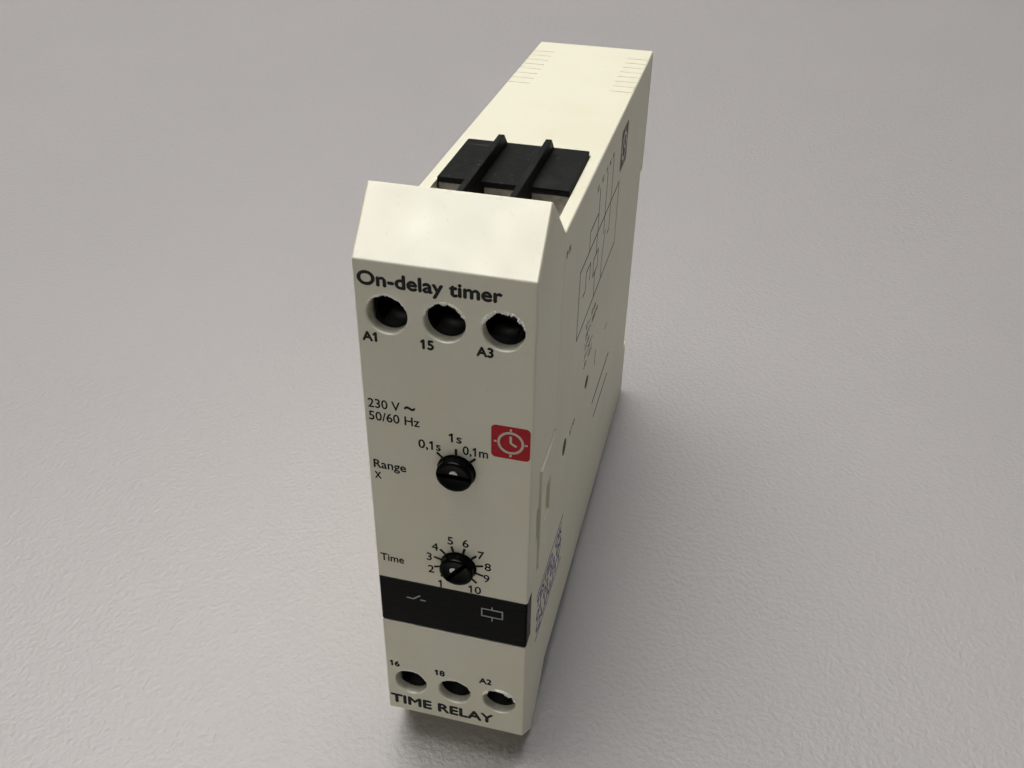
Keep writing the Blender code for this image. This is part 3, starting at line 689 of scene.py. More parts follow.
def make_cover_shell():
    """The clip-on front, with a raised nose above and below to shield the terminals."""
    edge, seam = SOFT_EDGE, SEAM_EDGE
    face_corner = (FACE, FACE_HALF_HEIGHT)
    rear = BODY_FRONT - SEAM_GAP
    low, high = TONGUE_LOW - GAP, TONGUE_HIGH + GAP
    step = TONGUE_FRONT - GAP
    outline = [
        (*face_corner, 0.2, edge), (*APEX, 0.4, edge), (rear, VALLEY[1], 0.1, 0.05),
        (rear, high, 0, LEDGE_EDGE), (step, high, 0, seam), (step, low, 0, seam),
        (rear, low, 0, seam), (rear, -VALLEY[1], 0.1, edge),
        (APEX[0], -APEX[1], 0.4, edge), (FACE, -FACE_HALF_HEIGHT, 0.2, edge),
    ]
    cover = rounded("cover_shell", prism(outline, -HALF_WIDTH, HALF_WIDTH))
    roof = inner_corner(face_corner, APEX, VALLEY, COVER_WALL)
    sill = BLOCK_TOP + GAP
    rise = (Vector(APEX) - Vector(face_corner)).normalized()
    fall = (Vector(VALLEY) - Vector(APEX)).normalized()
    front_top = roof - rise * ((roof.x - FACE - FACE_WALL) / rise.x)
    rear_foot = roof + fall * ((sill - roof.y) / fall.y)
    half = [tuple(front_top), tuple(roof), tuple(rear_foot), (rear + 2, sill)]
    cavity = half + [(y, -z) for y, z in reversed(half)]
    carve(cover, "DIFFERENCE", prism(cavity, -INNER_HALF, INNER_HALF))
    carve(cover, "DIFFERENCE", cover_holes())
    carve(cover, "DIFFERENCE", boxes(window_slot(), *block_seats()))
    for side in (1, -1):
        slot = side_slot(side, step - 1.3, step + 1, CATCH_LOW, CATCH_HIGH - 0.4)
        carve(cover, "DIFFERENCE", slot)
    carve(cover, "UNION", snap_arms())
    settle(cover)
    return dress(cover, "housing", cream_plastic, "cream_plastic", "front_cover")


def flared(radius, flare):
    """A cutter's profile that rounds the rim of its hole in the face."""
    steps = 4
    arc = [
        (
            radius + flare - flare * math.cos(step / steps * math.pi / 2),
            FACE + flare - flare * math.sin(step / steps * math.pi / 2),
        )
        for step in range(steps, -1, -1)
    ]
    end = FACE + FACE_WALL + 1
    return [(0, FACE - 1), (radius + flare, FACE - 1), *arc, (radius, end), (0, end)]


def cover_holes():
    """Round holes through the face for the screwdriver and for the two knobs."""
    bm = bmesh.new()
    for level in (1, -1):
        for column in (-1, 0, 1):
            centre = (column * HOLE_PITCH, 0, level * SCREW_Z)
            add_turned(bm, flared(HOLE_RADIUS, HOLE_FLARE), centre, steps=64)
    for knob in (RANGE_AT, TIME_AT):
        add_turned(bm, flared(KNOB_RADIUS + 0.15, 0.1), (knob.x, 0, knob.z), steps=64)
    return bm


def block_seats():
    """The face is thinner where the terminal blocks reach up to it."""
    for level in (1, -1):
        z_low, z_high = sorted((level * (abs(BLOCK_LOW.z) - GAP), level * (BLOCK_TOP + GAP)))
        rear = FACE + FACE_WALL + 0.5
        yield (-INNER_HALF, FACE + HOLE_LIP, z_low), (INNER_HALF, rear, z_high)


def window_slot():
    half_gap = GAP / 2
    return (
        (-HALF_WIDTH - 1, FACE - 1, WINDOW_LOW.z - half_gap),
        (HALF_WIDTH + 1, WINDOW_HIGH.y + half_gap, WINDOW_HIGH.z + half_gap),
    )


def snap_arms():
    """Springy arms behind the face, whose hooks catch in the housing's snap windows."""
    bm = bmesh.new()
    for side in (1, -1):
        hook = [
            (8.1, FACE + FACE_WALL - 0.6), (9.2, FACE + FACE_WALL - 0.6),
            (9.2, CATCH_FRONT + GAP), (9.95, CATCH_FRONT + GAP),
            (9.2, CATCH_REAR - GAP), (8.1, CATCH_REAR - GAP),
        ]
        low, high = CATCH_LOW + 0.5, CATCH_HIGH - 0.5
        face = bm.faces.new([bm.verts.new((side * x, y, low)) for x, y in hook])
        pushed = bmesh.ops.extrude_face_region(bm, geom=[face])["geom"]
        moved = [v for v in pushed if isinstance(v, bmesh.types.BMVert)]
        bmesh.ops.translate(bm, vec=(0, 0, high - low), verts=moved)
    return bm


def make_hole_burr(name, x, z, seed, tear):
    """The torn edge of a screw hole: a ragged crest of plastic round the upper part of its rim."""
    draw = random.Random(seed)
    steps, start, end = 80, math.radians(8), math.radians(168)
    back = FACE + 0.2
    bm = bmesh.new()
    rings = []
    crest, torn = 0.06, 0.06  # scaled by tear
    for step in range(steps + 1):
        share = step / steps
        angle = start + (end - start) * share
        fade = min(1.0, 8 * share, 8 * (1 - share))
        crest = min(0.16, max(0.01, crest + draw.uniform(-0.07, 0.07)))
        torn = min(0.16, max(0.01, torn + draw.uniform(-0.08, 0.08)))
        outer = HOLE_RADIUS + HOLE_FLARE + 0.02 * fade
        inner = HOLE_RADIUS + 0.1 - torn * fade * tear
        front = FACE + 0.04 - crest * fade * tear
        ring = []
        for radius, y in ((outer, front), (inner, front + 0.04), (inner, back), (outer, back)):
            ring.append(bm.verts.new(
                (x + radius * math.cos(angle), y, z + radius * math.sin(angle))
            ))
        rings.append(ring)
    for before, after in zip(rings, rings[1:]):
        for index in range(4):
            following = (index + 1) % 4
            bm.faces.new((before[index], before[following], after[following], after[index]))
    bm.faces.new(rings[0])
    bm.faces.new(list(reversed(rings[-1])))
    burr = settle(make_object(name, bm), 50.0)
    return dress(burr, "housing", ragged_cream_and_highlight, "cream_plastic")


def make_window_band():
    """The dark band across the face, whose ends wrap round both edges."""
    front_rear = FACE + WINDOW_THICK
    wrap_rear = WINDOW_HIGH.y
    inner = INNER_HALF
    outline = [
        (-HALF_WIDTH, FACE, 0.4, 0.12), (HALF_WIDTH, FACE, 0.4, 0.35),
        (HALF_WIDTH, wrap_rear, 0.1, 0.1), (inner, wrap_rear), (inner, front_rear),
        (-inner, front_rear), (-inner, wrap_rear, 0, 0.1),
        (-HALF_WIDTH, wrap_rear, 0.1, 0.35),
    ]
    band = rounded("window_band", prism(outline, WINDOW_LOW.z, WINDOW_HIGH.z, "z"))
    settle(band)
    return dress(band, "housing", smoked_window, "smoked_window", "led_window")


# ---------------------------------------------------------------- terminals


def level_name(level):
    return "top" if level > 0 else "bottom"


def make_block_moulding(level):
    """A moulded block with three wire chambers, screw tunnels and two tall partition ribs."""
    front, rear, half = BLOCK_FRONT, BLOCK_HIGH.y, BLOCK_HIGH.x
    outline = [
        (front, level * BLOCK_LOW.z, 0.3, 0.2), (rear, level * BLOCK_LOW.z, 0.3, 0.9),
        (rear, level * PANEL_TOP, 0.15, 0.15), (PANEL_FRONT, level * PANEL_TOP, 0.04, 0),
        (PANEL_FRONT, level * BLOCK_TOP, 0, 0.1), (front, level * BLOCK_TOP, 0.2, 0.2),
    ]
    name = level_name(level)
    block = rounded(f"block_{name}_moulding", prism(outline, -half, half))
    for side in (1, -1):
        carve(block, "UNION", settle(partition_rib(level, side)))
    carve(block, "DIFFERENCE", terminal_chambers(level))
    carve(block, "DIFFERENCE", screw_tunnels(level))
    settle(block)
    slot = "terminal_black"
    return dress(block, "housing", terminal_black, slot, f"terminal_block_{name}")


def partition_rib(level, side):
    foot, valley, top = BLOCK_TOP - 2, VALLEY[1], BLOCK_HIGH.z
    soft = 0.12
    outline = [
        (-80.6, foot), (-80.6, valley, 0, soft), (-83.2, top, 0.2, soft),
        (-56.5, top, 0.2, soft), (-54.1, valley, 0.1, 0), (BLOCK_HIGH.y, valley),
        (BLOCK_HIGH.y, foot),
    ]
    outline = [(point[0], level * point[1], *point[2:]) for point in outline]
    x = side * RIB_X
    return rounded(f"rib_{level}_{side}", prism(outline, x - RIB_HALF_THICK, x + RIB_HALF_THICK))


def terminal_chambers(level):
    """Wire chambers, open above in front of the panels."""
    edge, outer, wall = RIB_X - RIB_HALF_THICK, RIB_X + RIB_HALF_THICK, BLOCK_HIGH.x - 0.12
    z_low, z_high = sorted((level * CHAMBER_LOW, level * (PANEL_TOP - PANEL_THICK)))
    return boxes(*[
        ((x_low, CHAMBER_FRONT, z_low), (x_high, CHAMBER_REAR, z_high))
        for x_low, x_high in ((-wall, -outer), (-edge, edge), (outer, wall))
    ])


def screw_tunnels(level):
    """For each screw a tunnel with a ledge under its head, and a slot for the contact tab."""
    bm = bmesh.new()
    ledge, head, stem = SCREW_HEAD_REAR + 0.2, SCREW_HEAD_RADIUS + 0.2, SCREW_RADIUS + GAP
    front = BLOCK_FRONT - 1
    profile = [
        (0, front), (head, front), (head, ledge), (stem, ledge), (stem, CHAMBER_FRONT + 1),
        (0, CHAMBER_FRONT + 1),
    ]
    ends = sorted((level * (BLOCK_LOW.z - 1), level * (CHAMBER_LOW + 1)))
    for name in TERMINAL_NAMES[level]:
        x = middle(f"terminal_screw_{name}").x
        add_turned(bm, profile, (x, 0, level * SCREW_Z))
        add_box(
            bm, (x - 1.7, TAB_FRONT - GAP, ends[0]), (x + 1.7, TAB_REAR + GAP, ends[1])
        )
    return bm


def make_clamp_backplate(name, level):
    """The fixed metal plate at the back of a wire chamber, seen just under the panel's lip."""
    x = middle(f"terminal_screw_{name}").x
    foot, head = sorted((level * 30.0, level * 39.6))
    plate = soft_box((x - 2.7, CHAMBER_REAR - 0.24, foot), (x + 2.7, CHAMBER_REAR - 0.01, head), 0.05)
    plate = settle(rounded(f"clamp_backplate_{name}", plate))
    return dress(plate, "housing", dull_zinc, "zinc_steel")


def make_threaded_screw(name):
    """A slotted screw with a chamfered head and a rolled thread."""
    low, high = span(f"terminal_screw_{name}")
    centre = (low + high) / 2
    under = SCREW_HEAD_REAR - low.y
    length = high.y - low.y
    head = SCREW_HEAD_RADIUS
    profile = [
        (0, 0), (head - 0.45, 0), (head - 0.2, 0.06), (head - 0.05, 0.2), (head, 0.4),
        (head, under - 0.1), (head - 0.1, under), (SCREW_RADIUS - 0.2, under + 0.01),
    ]
    pitch, depth = 0.5, 0.2
    for turn in range(int((length - under - 0.9) / pitch)):
        start = under + 0.4 + turn * pitch
        profile += [
            (SCREW_RADIUS - depth, start), (SCREW_RADIUS, start + 0.2),
            (SCREW_RADIUS, start + 0.3),
        ]
    profile += [(SCREW_RADIUS - 0.4, length - 0.15), (SCREW_RADIUS - 0.6, length), (0, length)]
    screw = make_object(f"screw_{name}", turned(profile, (centre.x, low.y, centre.z), steps=40))
    slot = boxes((
        (centre.x - 3, low.y - 1, centre.z - 0.35), (centre.x + 3, low.y + 0.8, centre.z + 0.35)
    ))
    carve(screw, "DIFFERENCE", slot)
    settle(screw)
    node = f"terminal_screw_{name}"
    return dress(screw, node, screw_steel, "zinc_steel", node)


# ---------------------------------------------------------------- knobs


def turned_about(knob, pointer_deg, bm):
    """Turns a mesh about a knob's axis, clockwise as seen from the front."""
    turn = Matrix.Rotation(math.radians(pointer_deg), 4, "Y")
    there = Matrix.Translation((knob.x, 0, knob.z))
    bmesh.ops.transform(bm, matrix=there @ turn @ there.inverted(), verts=bm.verts)
    return bm


def make_dial_knob(name, knob, pointer_deg):
    """A slotted knob, with a rounded front edge and a shallow dish in its face."""
    flange_front = FACE + FACE_WALL + GAP
    rear = flange_front + 1.0
    r = KNOB_RADIUS
    profile = [
        (0, 0.06), (r - 0.75, 0.06), (r - 0.65, 0.0), (r - 0.3, 0.0), (r - 0.14, 0.05),
        (r - 0.04, 0.16), (r, 0.32), (r, flange_front - KNOB_FRONT - 0.1),
        (r + 0.7, flange_front - KNOB_FRONT), (r + 0.7, rear - KNOB_FRONT),
        (0, rear - KNOB_FRONT),
    ]
    body = turned(profile, (knob.x, KNOB_FRONT, knob.z), steps=64)
    piece = make_object(name, body)
    half, reach = KNOB_SLOT_HALF, KNOB_SLOT_REACH
    slot = boxes((
        (knob.x - reach, KNOB_FRONT - 1, knob.z - half),
        (knob.x + reach, KNOB_FRONT + 0.95, knob.z + half),
    ))
    carve(piece, "DIFFERENCE", turned_about(knob, pointer_deg, slot))
    settle(piece)
    return piece


def make_pointer(name, knob, pointer_deg):
    """The white half-round mark above the slot of a knob."""
    wing, tall, base = 0.55, 0.52, 0.48
    front, back = KNOB_FRONT + 0.02, KNOB_FRONT + 0.3
    steps = 12
    outline = [
        (
            knob.x + wing * math.cos(math.pi * step / steps),
            knob.z + base + tall * math.sin(math.pi * step / steps), 0, 0.03,
        )
        for step in range(steps + 1)
    ]
    bm = turned_about(knob, pointer_deg, prism(outline, front, back, "y"))
    return settle(rounded(name, bm))


def make_knobs():
    for kind, knob, angle in (("range", RANGE_AT, 0.0), ("time", TIME_AT, TIME_REST_DEG)):
        body = f"{kind}_knob"
        dress(make_dial_knob(f"{kind}_dial", knob, angle), body, knob_black, "knob_black", body)
        dress(make_pointer(f"{kind}_pointer", knob, angle), body, "pointer_white", "knob_black")


# ---------------------------------------------------------------- DIN clip and spring


def make_clip_foot():
    """The sliding foot that grips the rail's lower edge, with a window for its spring."""
    low = span("din_clip")[0].z
    floor, rear = CHANNEL_FLOOR + GAP, BODY_REAR - GAP
    soft = 0.25
    section = [
        (-FLANGE_HALF, floor, 0.1, soft), (FLANGE_HALF, floor, 0.1, soft),
        (FLANGE_HALF, FLANGE_REAR, 0.1, 0.1), (STEM_HALF, FLANGE_REAR, 0, soft),
        (STEM_HALF, rear, soft, soft), (-STEM_HALF, rear, soft, soft),
        (-STEM_HALF, FLANGE_REAR, 0, 0.1), (-FLANGE_HALF, FLANGE_REAR, 0.1, soft),
    ]
    head_low = CHANNEL_TOP - 0.95
    clip = rounded("clip_foot", prism(section, low, head_low + 0.45, "z"))
    head = [
        (GAP, head_low, 0.1, soft), (rear, head_low, soft, soft),
        (rear, -HOOK_LOW - 0.8, 0.2, 0.15), (rear - 1.0, 0.2 - HOOK_LOW, 0.15, 0.15),
        (RAIL_LIP, 0.2 - HOOK_LOW, 0.1, 0.1), (RAIL_LIP, -RAIL_HALF - 0.1, 0, 0.1),
        (GAP, -RAIL_HALF - 0.1, 0.1, 0.1),
    ]
    carve(clip, "UNION", settle(rounded("clip_head", prism(head, -8.0, 8.0))))
    carve(clip, "DIFFERENCE", boxes(
        ((-2.2, -3, -36.3), (2.2, 5, -26.0)),
        ((-1.75, 1.0, low - 1), (1.75, 2.2, -37.5)),
    ))
    settle(clip)
    return dress(clip, "din_clip", clip_black, "clip_black", "din_clip")


def make_spring_wire():
    """The clip's compression spring, with closed end coils."""
    low, high = span("din_spring")
    centre = (low + high) / 2
    wire, turns, closed = 0.25, 5.5, 0.9
    radius = high.x - wire
    steps = 240
    path = bpy.data.curves.new("spring_wire", "CURVE")
    path.dimensions = "3D"
    path.bevel_depth = wire * MM
    path.bevel_resolution = 3
    path.use_fill_caps = True
    line = path.splines.new("POLY")
    line.points.add(steps)
    rise = high.z - low.z - 2 * wire
    for number, point in enumerate(line.points):
        turn = turns * number / steps
        share = min(1.0, max(0.0, (turn - closed) / (turns - 2 * closed)))
        lift = 2.4 * wire * (min(turn, closed) + max(0.0, turn - turns + closed))
        height = low.z + wire + lift + share * (rise - 4.8 * wire * closed)
        angle = 2 * math.pi * turn
        x, y = centre.x + radius * math.cos(angle), centre.y + radius * math.sin(angle)
        point.co = (x * MM, y * MM, height * MM, 1.0)
    curve = linked(bpy.data.objects.new("spring_wire", path))
    mesh = evaluated_mesh(curve)
    bpy.data.objects.remove(curve)
    spring = linked(bpy.data.objects.new("spring_wire", mesh))
    mesh.shade_smooth()
    dress(spring, "housing", zinc_steel, "zinc_steel", "din_spring")
    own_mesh(spring)
    return spring


# ---------------------------------------------------------------- printing


def letter_mesh(words):
    """Flat letters of size 1, half a unit thick to each side."""
    curve = bpy.data.curves.new("letters", "FONT")
    curve.body = words
    curve.extrude = 0.5
    curve.resolution_u = 4
    item = linked(bpy.data.objects.new("letters", curve))
    mesh = evaluated_mesh(item)
    bpy.data.objects.remove(item)
    bpy.data.curves.remove(curve)
    return mesh


def extent(mesh, axis):
    values = [vertex.co[axis] for vertex in mesh.vertices]
    return min(values), max(values)


CAPITAL = extent(letter_mesh("H"), 1)[1]
STEM = extent(letter_mesh("l"), 0)[1] - extent(letter_mesh("l"), 0)[0]


def flag_ones(part, words):
    """The built-in figure 1 is a bare stem; each one gets a flag, so that it reads as a figure."""
    for index, letter in enumerate(words):
        if letter != "1":
            continue
        right = extent(letter_mesh(words[:index + 1]), 0)[1]
        left = right - STEM
        outline = [
            (right, CAPITAL), (left, CAPITAL), (left - 0.14, CAPITAL - 0.13),
            (left - 0.14, CAPITAL - 0.13 - STEM), (left, CAPITAL - 0.08 - STEM),
            (right, CAPITAL - 0.08 - STEM),
        ]
        flag = prism(outline, -0.49, 0.49, "z")
        bmesh.ops.recalc_face_normals(flag, faces=flag.faces)
        mesh = bpy.data.meshes.new("flag")
        flag.to_mesh(mesh)
        flag.free()
        part.from_mesh(mesh)
        bpy.data.meshes.remove(mesh)


def circle(steps):
    """Points round the unit circle."""
    angles = [2 * math.pi * step / steps for step in range(steps)]
    return [(math.cos(angle), math.sin(angle)) for angle in angles]


class Print:
    """Ink on one flat face, gathered into one thin mesh. Places are (across, up) in millimetres."""

    def __init__(self, plane, lift=0.0):
        self.bm = bmesh.new()
        self.plane = plane
        self.lift = lift

    def take(self, part, place):
        bmesh.ops.transform(part, matrix=self.plane @ place, verts=part.verts)
        mesh = bpy.data.meshes.new("ink")
        part.to_mesh(mesh)
        part.free()
        self.bm.from_mesh(mesh)
        bpy.data.meshes.remove(mesh)

    def words(self, words, across, up, cap, bold=0.0, width=None, centred=False):
        """Capitals are cap high and centred on up; width, if given, is what the words fill."""
        mesh = letter_mesh(words)
        low, high = extent(mesh, 0)
        scale = cap / CAPITAL
        stretch = scale if width is None else (width - 2 * bold) / (high - low)
        start = across - (low + high) / 2 * stretch if centred else across + bold - low * stretch
        shifts = ((0, 0), (1, 0), (-1, 0), (0, 1), (0, -1)) if bold else ((0, 0),)
        for layer, (right, higher) in enumerate(shifts):
            part = bmesh.new()
            part.from_mesh(mesh)
            bmesh.ops.remove_doubles(part, verts=part.verts, dist=1e-5)
            flag_ones(part, words)
            lift = self.lift + INK / 2 + layer * LAYER
            spot = (start + right * bold, up - cap / 2 + higher * bold, lift)
            self.take(part, Matrix.Translation(spot) @ Matrix.Diagonal((stretch, scale, INK, 1.0)))
        bpy.data.meshes.remove(mesh)

    def shape(self, outline):
        """A filled outline of (across, up) points."""
        place = Matrix.Translation((0, 0, self.lift))
        self.take(prism([(a, b) for a, b in outline], -INK / 2, INK, "z"), place)

    def bar(self, start, end, thick):
        """A straight line from start to end."""
        run = Vector(end) - Vector(start)
        side = Vector((-run.y, run.x)).normalized() * thick / 2
        corners = (Vector(start) + side, Vector(start) - side, Vector(end) - side, Vector(end) + side)
        self.shape([tuple(corner) for corner in corners])

    def path(self, points, thick):
        for start, end in zip(points, points[1:]):
            self.bar(start, end, thick)

    def frame(self, low, high, thick):
        """The four sides of a rectangle."""
        (left, foot), (right, head) = low, high
        half = thick / 2
        for level in (foot, head):
            self.bar((left - half, level), (right + half, level), thick)
        for side in (left, right):
            self.bar((side, foot), (side, head), thick)

    def disc(self, across, up, radius, tall=1.0):
        self.shape([(across + radius * x, up + tall * radius * y) for x, y in circle(32)])

    def ring(self, across, up, radius, thick):
        points = [(across + radius * x, up + radius * y) for x, y in circle(40)]
        self.path([*points, points[0]], thick)

    def rounded_square(self, across, up, half, corner):
        points = []
        for quarter in range(4):
            for step in range(7):
                angle = math.pi / 2 * (quarter + step / 6)
                x = math.copysign(half - corner, math.cos(math.pi / 2 * (quarter + 0.5)))
                y = math.copysign(half - corner, math.sin(math.pi / 2 * (quarter + 0.5)))
                points.append(
                    (across + x + corner * math.cos(angle), up + y + corner * math.sin(angle))
                )
        self.shape(points)

    def finish(self, name, make, slot):
        made = make_object(name, self.bm)
        return dress(made, "housing", make, slot)


def print_dial(page, knob, ticks, inner, outer):
    """Tick marks about a knob, clockwise from the top."""
    for angle in ticks:
        way = Vector((math.sin(math.radians(angle)), math.cos(math.radians(angle))))
        centre = Vector((knob.x, knob.z))
        page.bar(centre + way * inner, centre + way * outer, 0.36)


def print_front():
    """Titles, terminal numbers, ratings and the two dials."""
    page = Print(FRONT_PLANE)
    left = -10.7
    labels = (
        ("On-delay timer", left, 38.5, 1.75, 0.1, 17.8),
        ("TIME RELAY", -10.9, -38.44, 1.9, 0.13, 17.3),
        ("A1", -10.6, 30.42, 1.25, 0.085), ("15", -2.9, 30.42, 1.25, 0.085),
        ("A3", 3.9, 30.62, 1.25, 0.085), ("16", -10.35, -29.94, 1.15, 0.08),
        ("18", -2.95, -29.94, 1.15, 0.08), ("A2", 4.0, -29.55, 1.15, 0.08),
        ("230 V", left + 0.1, 20.36, 1.35, 0.025, 4.35), ("~", left + 5.0, 20.65, 2.4, 0.05, 1.5),
        ("50/60 Hz", left + 0.1, 18.36, 1.35, 0.025, 6.9),
        ("Range", left + 0.2, 10.4, 1.35, 0.035, 4.6), ("x", left + 0.25, 8.7, 1.7, 0.02, 0.95),
        ("Time", left + 0.1, -6.84, 1.35, 0.035, 3.55), ("0,1s", -4.0, 15.06, 1.35, 0.035, 3.05),
        ("1s", 0.45, 16.86, 1.35, 0.035, 1.45), ("0,1m", 2.0, 15.16, 1.35, 0.035, 3.4),
    )
    for label in labels:
        page.words(*label)
    print_dial(page, RANGE_AT, (-45, 0, 45), 2.5, 3.7)
    print_dial(page, TIME_AT, range(-135, 136, 30), 2.5, 3.75)
    figures = (
        ("1", -1.6, -10.04), ("2", -3.0, -7.44), ("3", -3.2, -5.04), ("4", -2.3, -2.94),
        ("5", 0.0, -1.24), ("6", 2.2, -1.24), ("7", 4.4, -2.94), ("8", 5.4, -4.94),
        ("9", 5.2, -7.24), ("10", 3.6, -9.94),
    )
    for words, across, up in figures:
        page.words(words, across, up, 1.38, 0.03, centred=True)
    page.finish("front_print", "black_ink", "terminal_black")


def print_clock_mark(name, plane, across, up, half, plate_ink):
    """A generic timer mark: a clock's face on a rounded square."""
    plate = Print(plane)
    plate.rounded_square(across, up, half, 0.24 * half)
    plate.finish(f"{name}_plate", plate_ink, "red_lens")
    clock = Print(plane, lift=INK)
    clock.ring(across, up, 0.62 * half, 0.13 * half)
    clock.bar((across, up), (across, up + 0.42 * half), 0.12 * half)
    clock.bar((across, up), (across + 0.3 * half, up - 0.18 * half), 0.12 * half)
    for quarter in range(4):
        way = Vector((math.cos(quarter * math.pi / 2), math.sin(quarter * math.pi / 2)))
        centre = Vector((across, up))
        clock.bar(centre + way * 0.72 * half, centre + way * 0.86 * half, 0.1 * half)
    clock.finish(f"{name}_clock", "pale_ink", "cream_plastic")


def print_window():
    """The contact and the coil symbols on the dark band."""
    page = Print(FRONT_PLANE)
    z = -14.34
    page.bar((-7.0, z), (-5.9, z), 0.22)
    page.bar((-5.95, z - 0.02), (-4.9, z + 0.85), 0.22)
    page.bar((-4.9, z), (-4.05, z), 0.22)
    page.frame((4.5, -14.94), (7.6, -13.44), 0.2)
    page.bar((6.05, -13.44), (6.05, -12.84), 0.18)
    page.bar((6.05, -15.74), (6.05, -14.94), 0.18)
    page.finish("window_print", "window_ink", "cream_plastic")


def print_side():
    """The wiring diagram, the ratings and the terminal row on the right-hand side."""
    page = Print(SIDE_PLANE)
    page.words("IP 20", -79.6, 36.2, 0.95)
    for words, across in (("A1", -57.0), ("A3", -53.0), ("15", -49.0), ("16", -46.0), ("18", -43.0)):
        page.words(words, across, 35.8, 0.95)
    thin = 0.3
    page.frame((-67.9, 16.3), (-33.1, 27.7), thin)
    page.frame((-56.0, 21.0), (-52.0, 24.0), thin)
    wires = (
        [(-61.0, 27.7), (-61.0, 31.0), (-54.0, 31.0), (-54.0, 35.0)],
        [(-54.0, 16.3), (-54.0, 21.0)],
        [(-54.0, 24.0), (-54.0, 35.0)],
        [(-47.5, 16.3), (-47.5, 20.5), (-45.6, 24.4)],
        [(-47.5, 24.4), (-47.5, 35.0)],
        [(-43.6, 22.8), (-41.8, 22.8), (-41.8, 35.0)],
        [(-64.5, 22.0), (-62.5, 22.0), (-62.5, 25.0), (-59.0, 25.0), (-59.0, 22.0)],
    )
    for wire in wires:
        page.path(wire, thin)
    rows = ("0,1 s ... 10 min", "230 V ~  50/60 Hz", "2,5 VA", "5 A  250 V ~", "-20 ... +60 C")
    for number, words in enumerate(rows):
        page.words(words, -59.0, 13.4 - 1.9 * number, 1.0)
    page.disc(-73.1, 0.2, 1.4)
    page.words("0,5 Nm", -69.0, -0.3, 1.0)
    page.disc(-54.6, 0.2, 1.5, 0.7)
    page.bar((-46.6, -1.4), (-46.6, 1.8), 0.35)
    page.bar((-36.6, 0.2), (-34.2, 0.2), 0.2)
    for start, end, level, thick in ((-46.0, -28.0, -10.2, 0.55), (-43.0, -27.5, -15.4, 0.5)):
        page.bar((start, level), (end, level), thick)
    page.finish("side_print", "grey_ink", "terminal_black")
    stamp = Print(SIDE_PLANE)
    rows = (("TESTED  OK", -18.2), ("01 02 03 04", -21.0), ("QUALITY", -23.8))
    for words, up in rows:
        stamp.words(words, -89.4, up, 2.1, 0.12, 18.5)
    for up in (-16.1, -25.8):
        stamp.bar((-89.6, up), (-70.4, up), 0.4)
    stamp.finish("side_stamp", "violet_ink", "component_blue")


# ---------------------------------------------------------------- carried-over CAD nodes

CARRIED = {
    zinc_steel: ("range_shaft", "time_shaft", "relay_core", "relay_yoke", "relay_armature"),
    tinned_copper: ("relay_moving_contact", "relay_contact_rest", "relay_contact_work"),
    component_black: (
        "range_switch_body", "board_connector", "timer_ic", "bridge_rectifier",
        "relay_transistor", "zener_diode", "relay_base",
    ),
    component_blue: (
        "time_pot_body", "dropper_capacitor", "varistor", "smoothing_capacitor",
        "timing_capacitor",
    ),
    relay_case: ("relay_cover",),
    board_green: ("main_pcb", "front_pcb"),
    red_lens: ("led_relay",),
    green_lens: ("led_power",),
    copper_wire: ("relay_coil",),
    ceramic_white: ("dropper_resistor",),
}


def refine(node, make, width=0.12):
    """A CAD node keeps its mesh, and gets softened edges and its material."""
    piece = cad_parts[node]
    weld = piece.modifiers.new("weld", "WELD")
    weld.merge_threshold = 1e-6
    flat = piece.modifiers.new("flat", "DECIMATE")
    flat.decimate_type = "DISSOLVE"
    flat.angle_limit = math.radians(1.0)
    bevel = piece.modifiers.new("edges", "BEVEL")
    bevel.limit_method = "ANGLE"
    bevel.angle_limit = math.radians(40)
    bevel.width = width * MM
    bevel.segments = 2
    normals = piece.modifiers.new("normals", "WEIGHTED_NORMAL")
    normals.keep_sharp = True
    for slot in piece.material_slots:
        slot.link = "OBJECT"
        slot.material = finish(make)


def dress_carried_nodes():
    for make, nodes in CARRIED.items():
        for node in nodes:
            refine(node, make)
    for names in TERMINAL_NAMES.values():
        for name in names:
            refine(f"clamp_cage_{name}", zinc_steel, 0.15)
            refine(f"contact_tab_{name}", tinned_copper, 0.1)


# ---------------------------------------------------------------- floor, light and camera


FLOOR_REACH, FLOOR_SIDES = 1500.0, 96
FLOOR_GAP = 0.02


def make_floor():
    """A plain table, under the lower nose and the lower rear edge that the timer stands on."""
    front, rear = Vector((APEX[0], -APEX[1])), Vector((BODY_REAR, -HALF_HEIGHT))
    tilt = math.atan2(rear.y - front.y, rear.x - front.x)
    mesh = bpy.data.meshes.new("floor")
    along = Vector((0, math.cos(tilt), math.sin(tilt)))
    across = Vector((1, 0, 0))
    foot = Vector((0, front.x, front.y - FLOOR_GAP))
    rim = [foot + (across * x + along * y) * FLOOR_REACH for x, y in circle(FLOOR_SIDES)]
    mesh.from_pydata([corner * MM for corner in rim], [], [tuple(range(FLOOR_SIDES))])
    floor = linked(bpy.data.objects.new("floor", mesh))
    made = Finish("floor", (0.37, 0.342, 0.328), 0.5)
    made.mottle((0.356, 0.33, 0.316), 0.3, 0.8, 60.0, 3.0)
    made.gloss(0.28, 0.5, 2.0, 3.0)
    made.relief(0.3, 0.55, 0.9, 2.0)
    mesh.materials.append(made.material)


def make_area_light(name, place, aim, size, power, colour):
    lamp = bpy.data.lights.new(name, "AREA")
    lamp.shape = "DISK"
    lamp.size = size
    lamp.energy = power
    lamp.color = colour
    item = linked(bpy.data.objects.new(name, lamp))
    item.location = place
    item.rotation_euler = (Vector(aim) - Vector(place)).to_track_quat("-Z", "Y").to_euler()
    return item


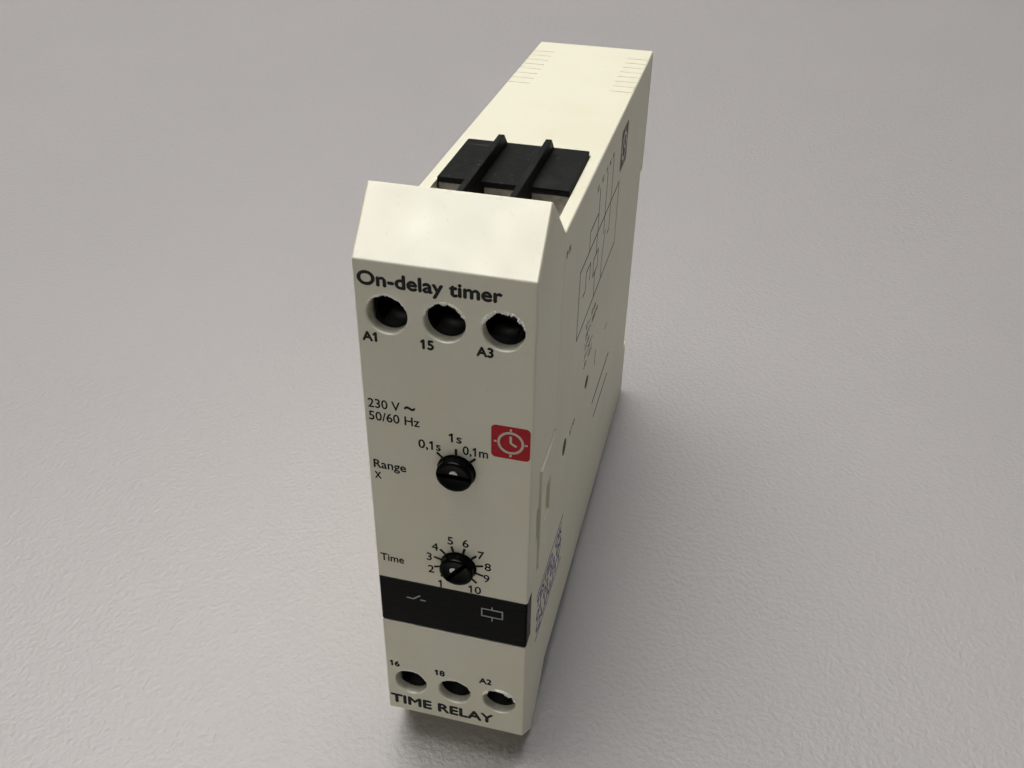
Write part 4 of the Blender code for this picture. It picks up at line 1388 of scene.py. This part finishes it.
def make_lights():
    """A soft key from the upper left, a wide ceiling, and a sheen that only gloss picks up."""
    aim = (0.0, -0.045, 0.0)
    make_area_light("key", (-0.34, 0.16, 1.3), aim, 1.3, 15.5, (1.0, 0.965, 0.915))
    above, below = (-0.45, 0.7, 1.6), (-0.45, 0.7, 0.0)
    make_area_light("ceiling", above, below, 2.5, 22.5, (0.97, 1.0, 1.04))
    sheen = make_area_light("sheen", (-0.27, -0.87, 1.06), aim, 1.2, 84.0, (1.0, 0.97, 0.89))
    sheen.visible_diffuse = False


SKY_COLOUR, SKY_STRENGTH = (0.74, 0.94, 1.2, 1.0), 0.06
WALL_COLOUR = (0.42, 0.41, 0.40, 1.0)


def make_world():
    """Faint cool light from all around, seen by the camera as a pale wall."""
    world = bpy.data.worlds.new("studio")
    world.use_nodes = True
    nodes, links = world.node_tree.nodes, world.node_tree.links
    light = nodes["Background"]
    light.inputs["Color"].default_value = SKY_COLOUR
    light.inputs["Strength"].default_value = SKY_STRENGTH
    wall = nodes.new("ShaderNodeBackground")
    wall.inputs["Color"].default_value = WALL_COLOUR
    choice = nodes.new("ShaderNodeMixShader")
    links.new(nodes.new("ShaderNodeLightPath").outputs["Is Camera Ray"], choice.inputs["Fac"])
    links.new(light.outputs["Background"], choice.inputs[1])
    links.new(wall.outputs["Background"], choice.inputs[2])
    links.new(choice.outputs["Shader"], nodes["World Output"].inputs["Surface"])
    bpy.context.scene.world = world


CAMERA_AT = Vector((31.186, -189.831, 92.834))
CAMERA_AIM = Vector((0.0, -61.736, 2.396))
CAMERA_ROLL_DEG = 1.098
LENS = 34.093


def make_camera():
    """Looks from the right, from in front and above, without tone mapping."""
    bpy.context.scene.view_settings.view_transform = "Standard"
    data = bpy.data.cameras.new("camera")
    data.sensor_width = 36.0
    data.lens = LENS
    data.clip_start = 0.01
    camera = linked(bpy.data.objects.new("camera", data))
    look = (CAMERA_AIM - CAMERA_AT).to_track_quat("-Z", "Y").to_matrix().to_4x4()
    roll = Matrix.Rotation(math.radians(CAMERA_ROLL_DEG), 4, "Z")
    camera.matrix_world = Matrix.Translation(CAMERA_AT * MM) @ look @ roll
    bpy.context.scene.camera = camera


# ---------------------------------------------------------------- the whole model


def main():
    make_camera()
    make_lights()
    make_world()
    make_floor()
    make_body_shell()
    make_cover_shell()
    make_window_band()
    for level, names in TERMINAL_NAMES.items():
        make_block_moulding(level)
        for number, name in enumerate(names):
            make_threaded_screw(name)
            make_clamp_backplate(name, level)
            x = (number - 1) * HOLE_PITCH
            seed = number + 3 * (level > 0)
            make_hole_burr(f"hole_burr_{name}", x, level * SCREW_Z, seed, HOLE_TEARS[name])
    make_knobs()
    make_clip_foot()
    make_spring_wire()
    print_front()
    print_clock_mark("front_mark", FRONT_PLANE, 8.35, 17.6, 2.55, "red_ink")
    print_window()
    print_side()
    print_clock_mark("side_mark", SIDE_PLANE, -30.2, 33.0, 3.6, "dull_red_ink")
    dress_carried_nodes()


main()
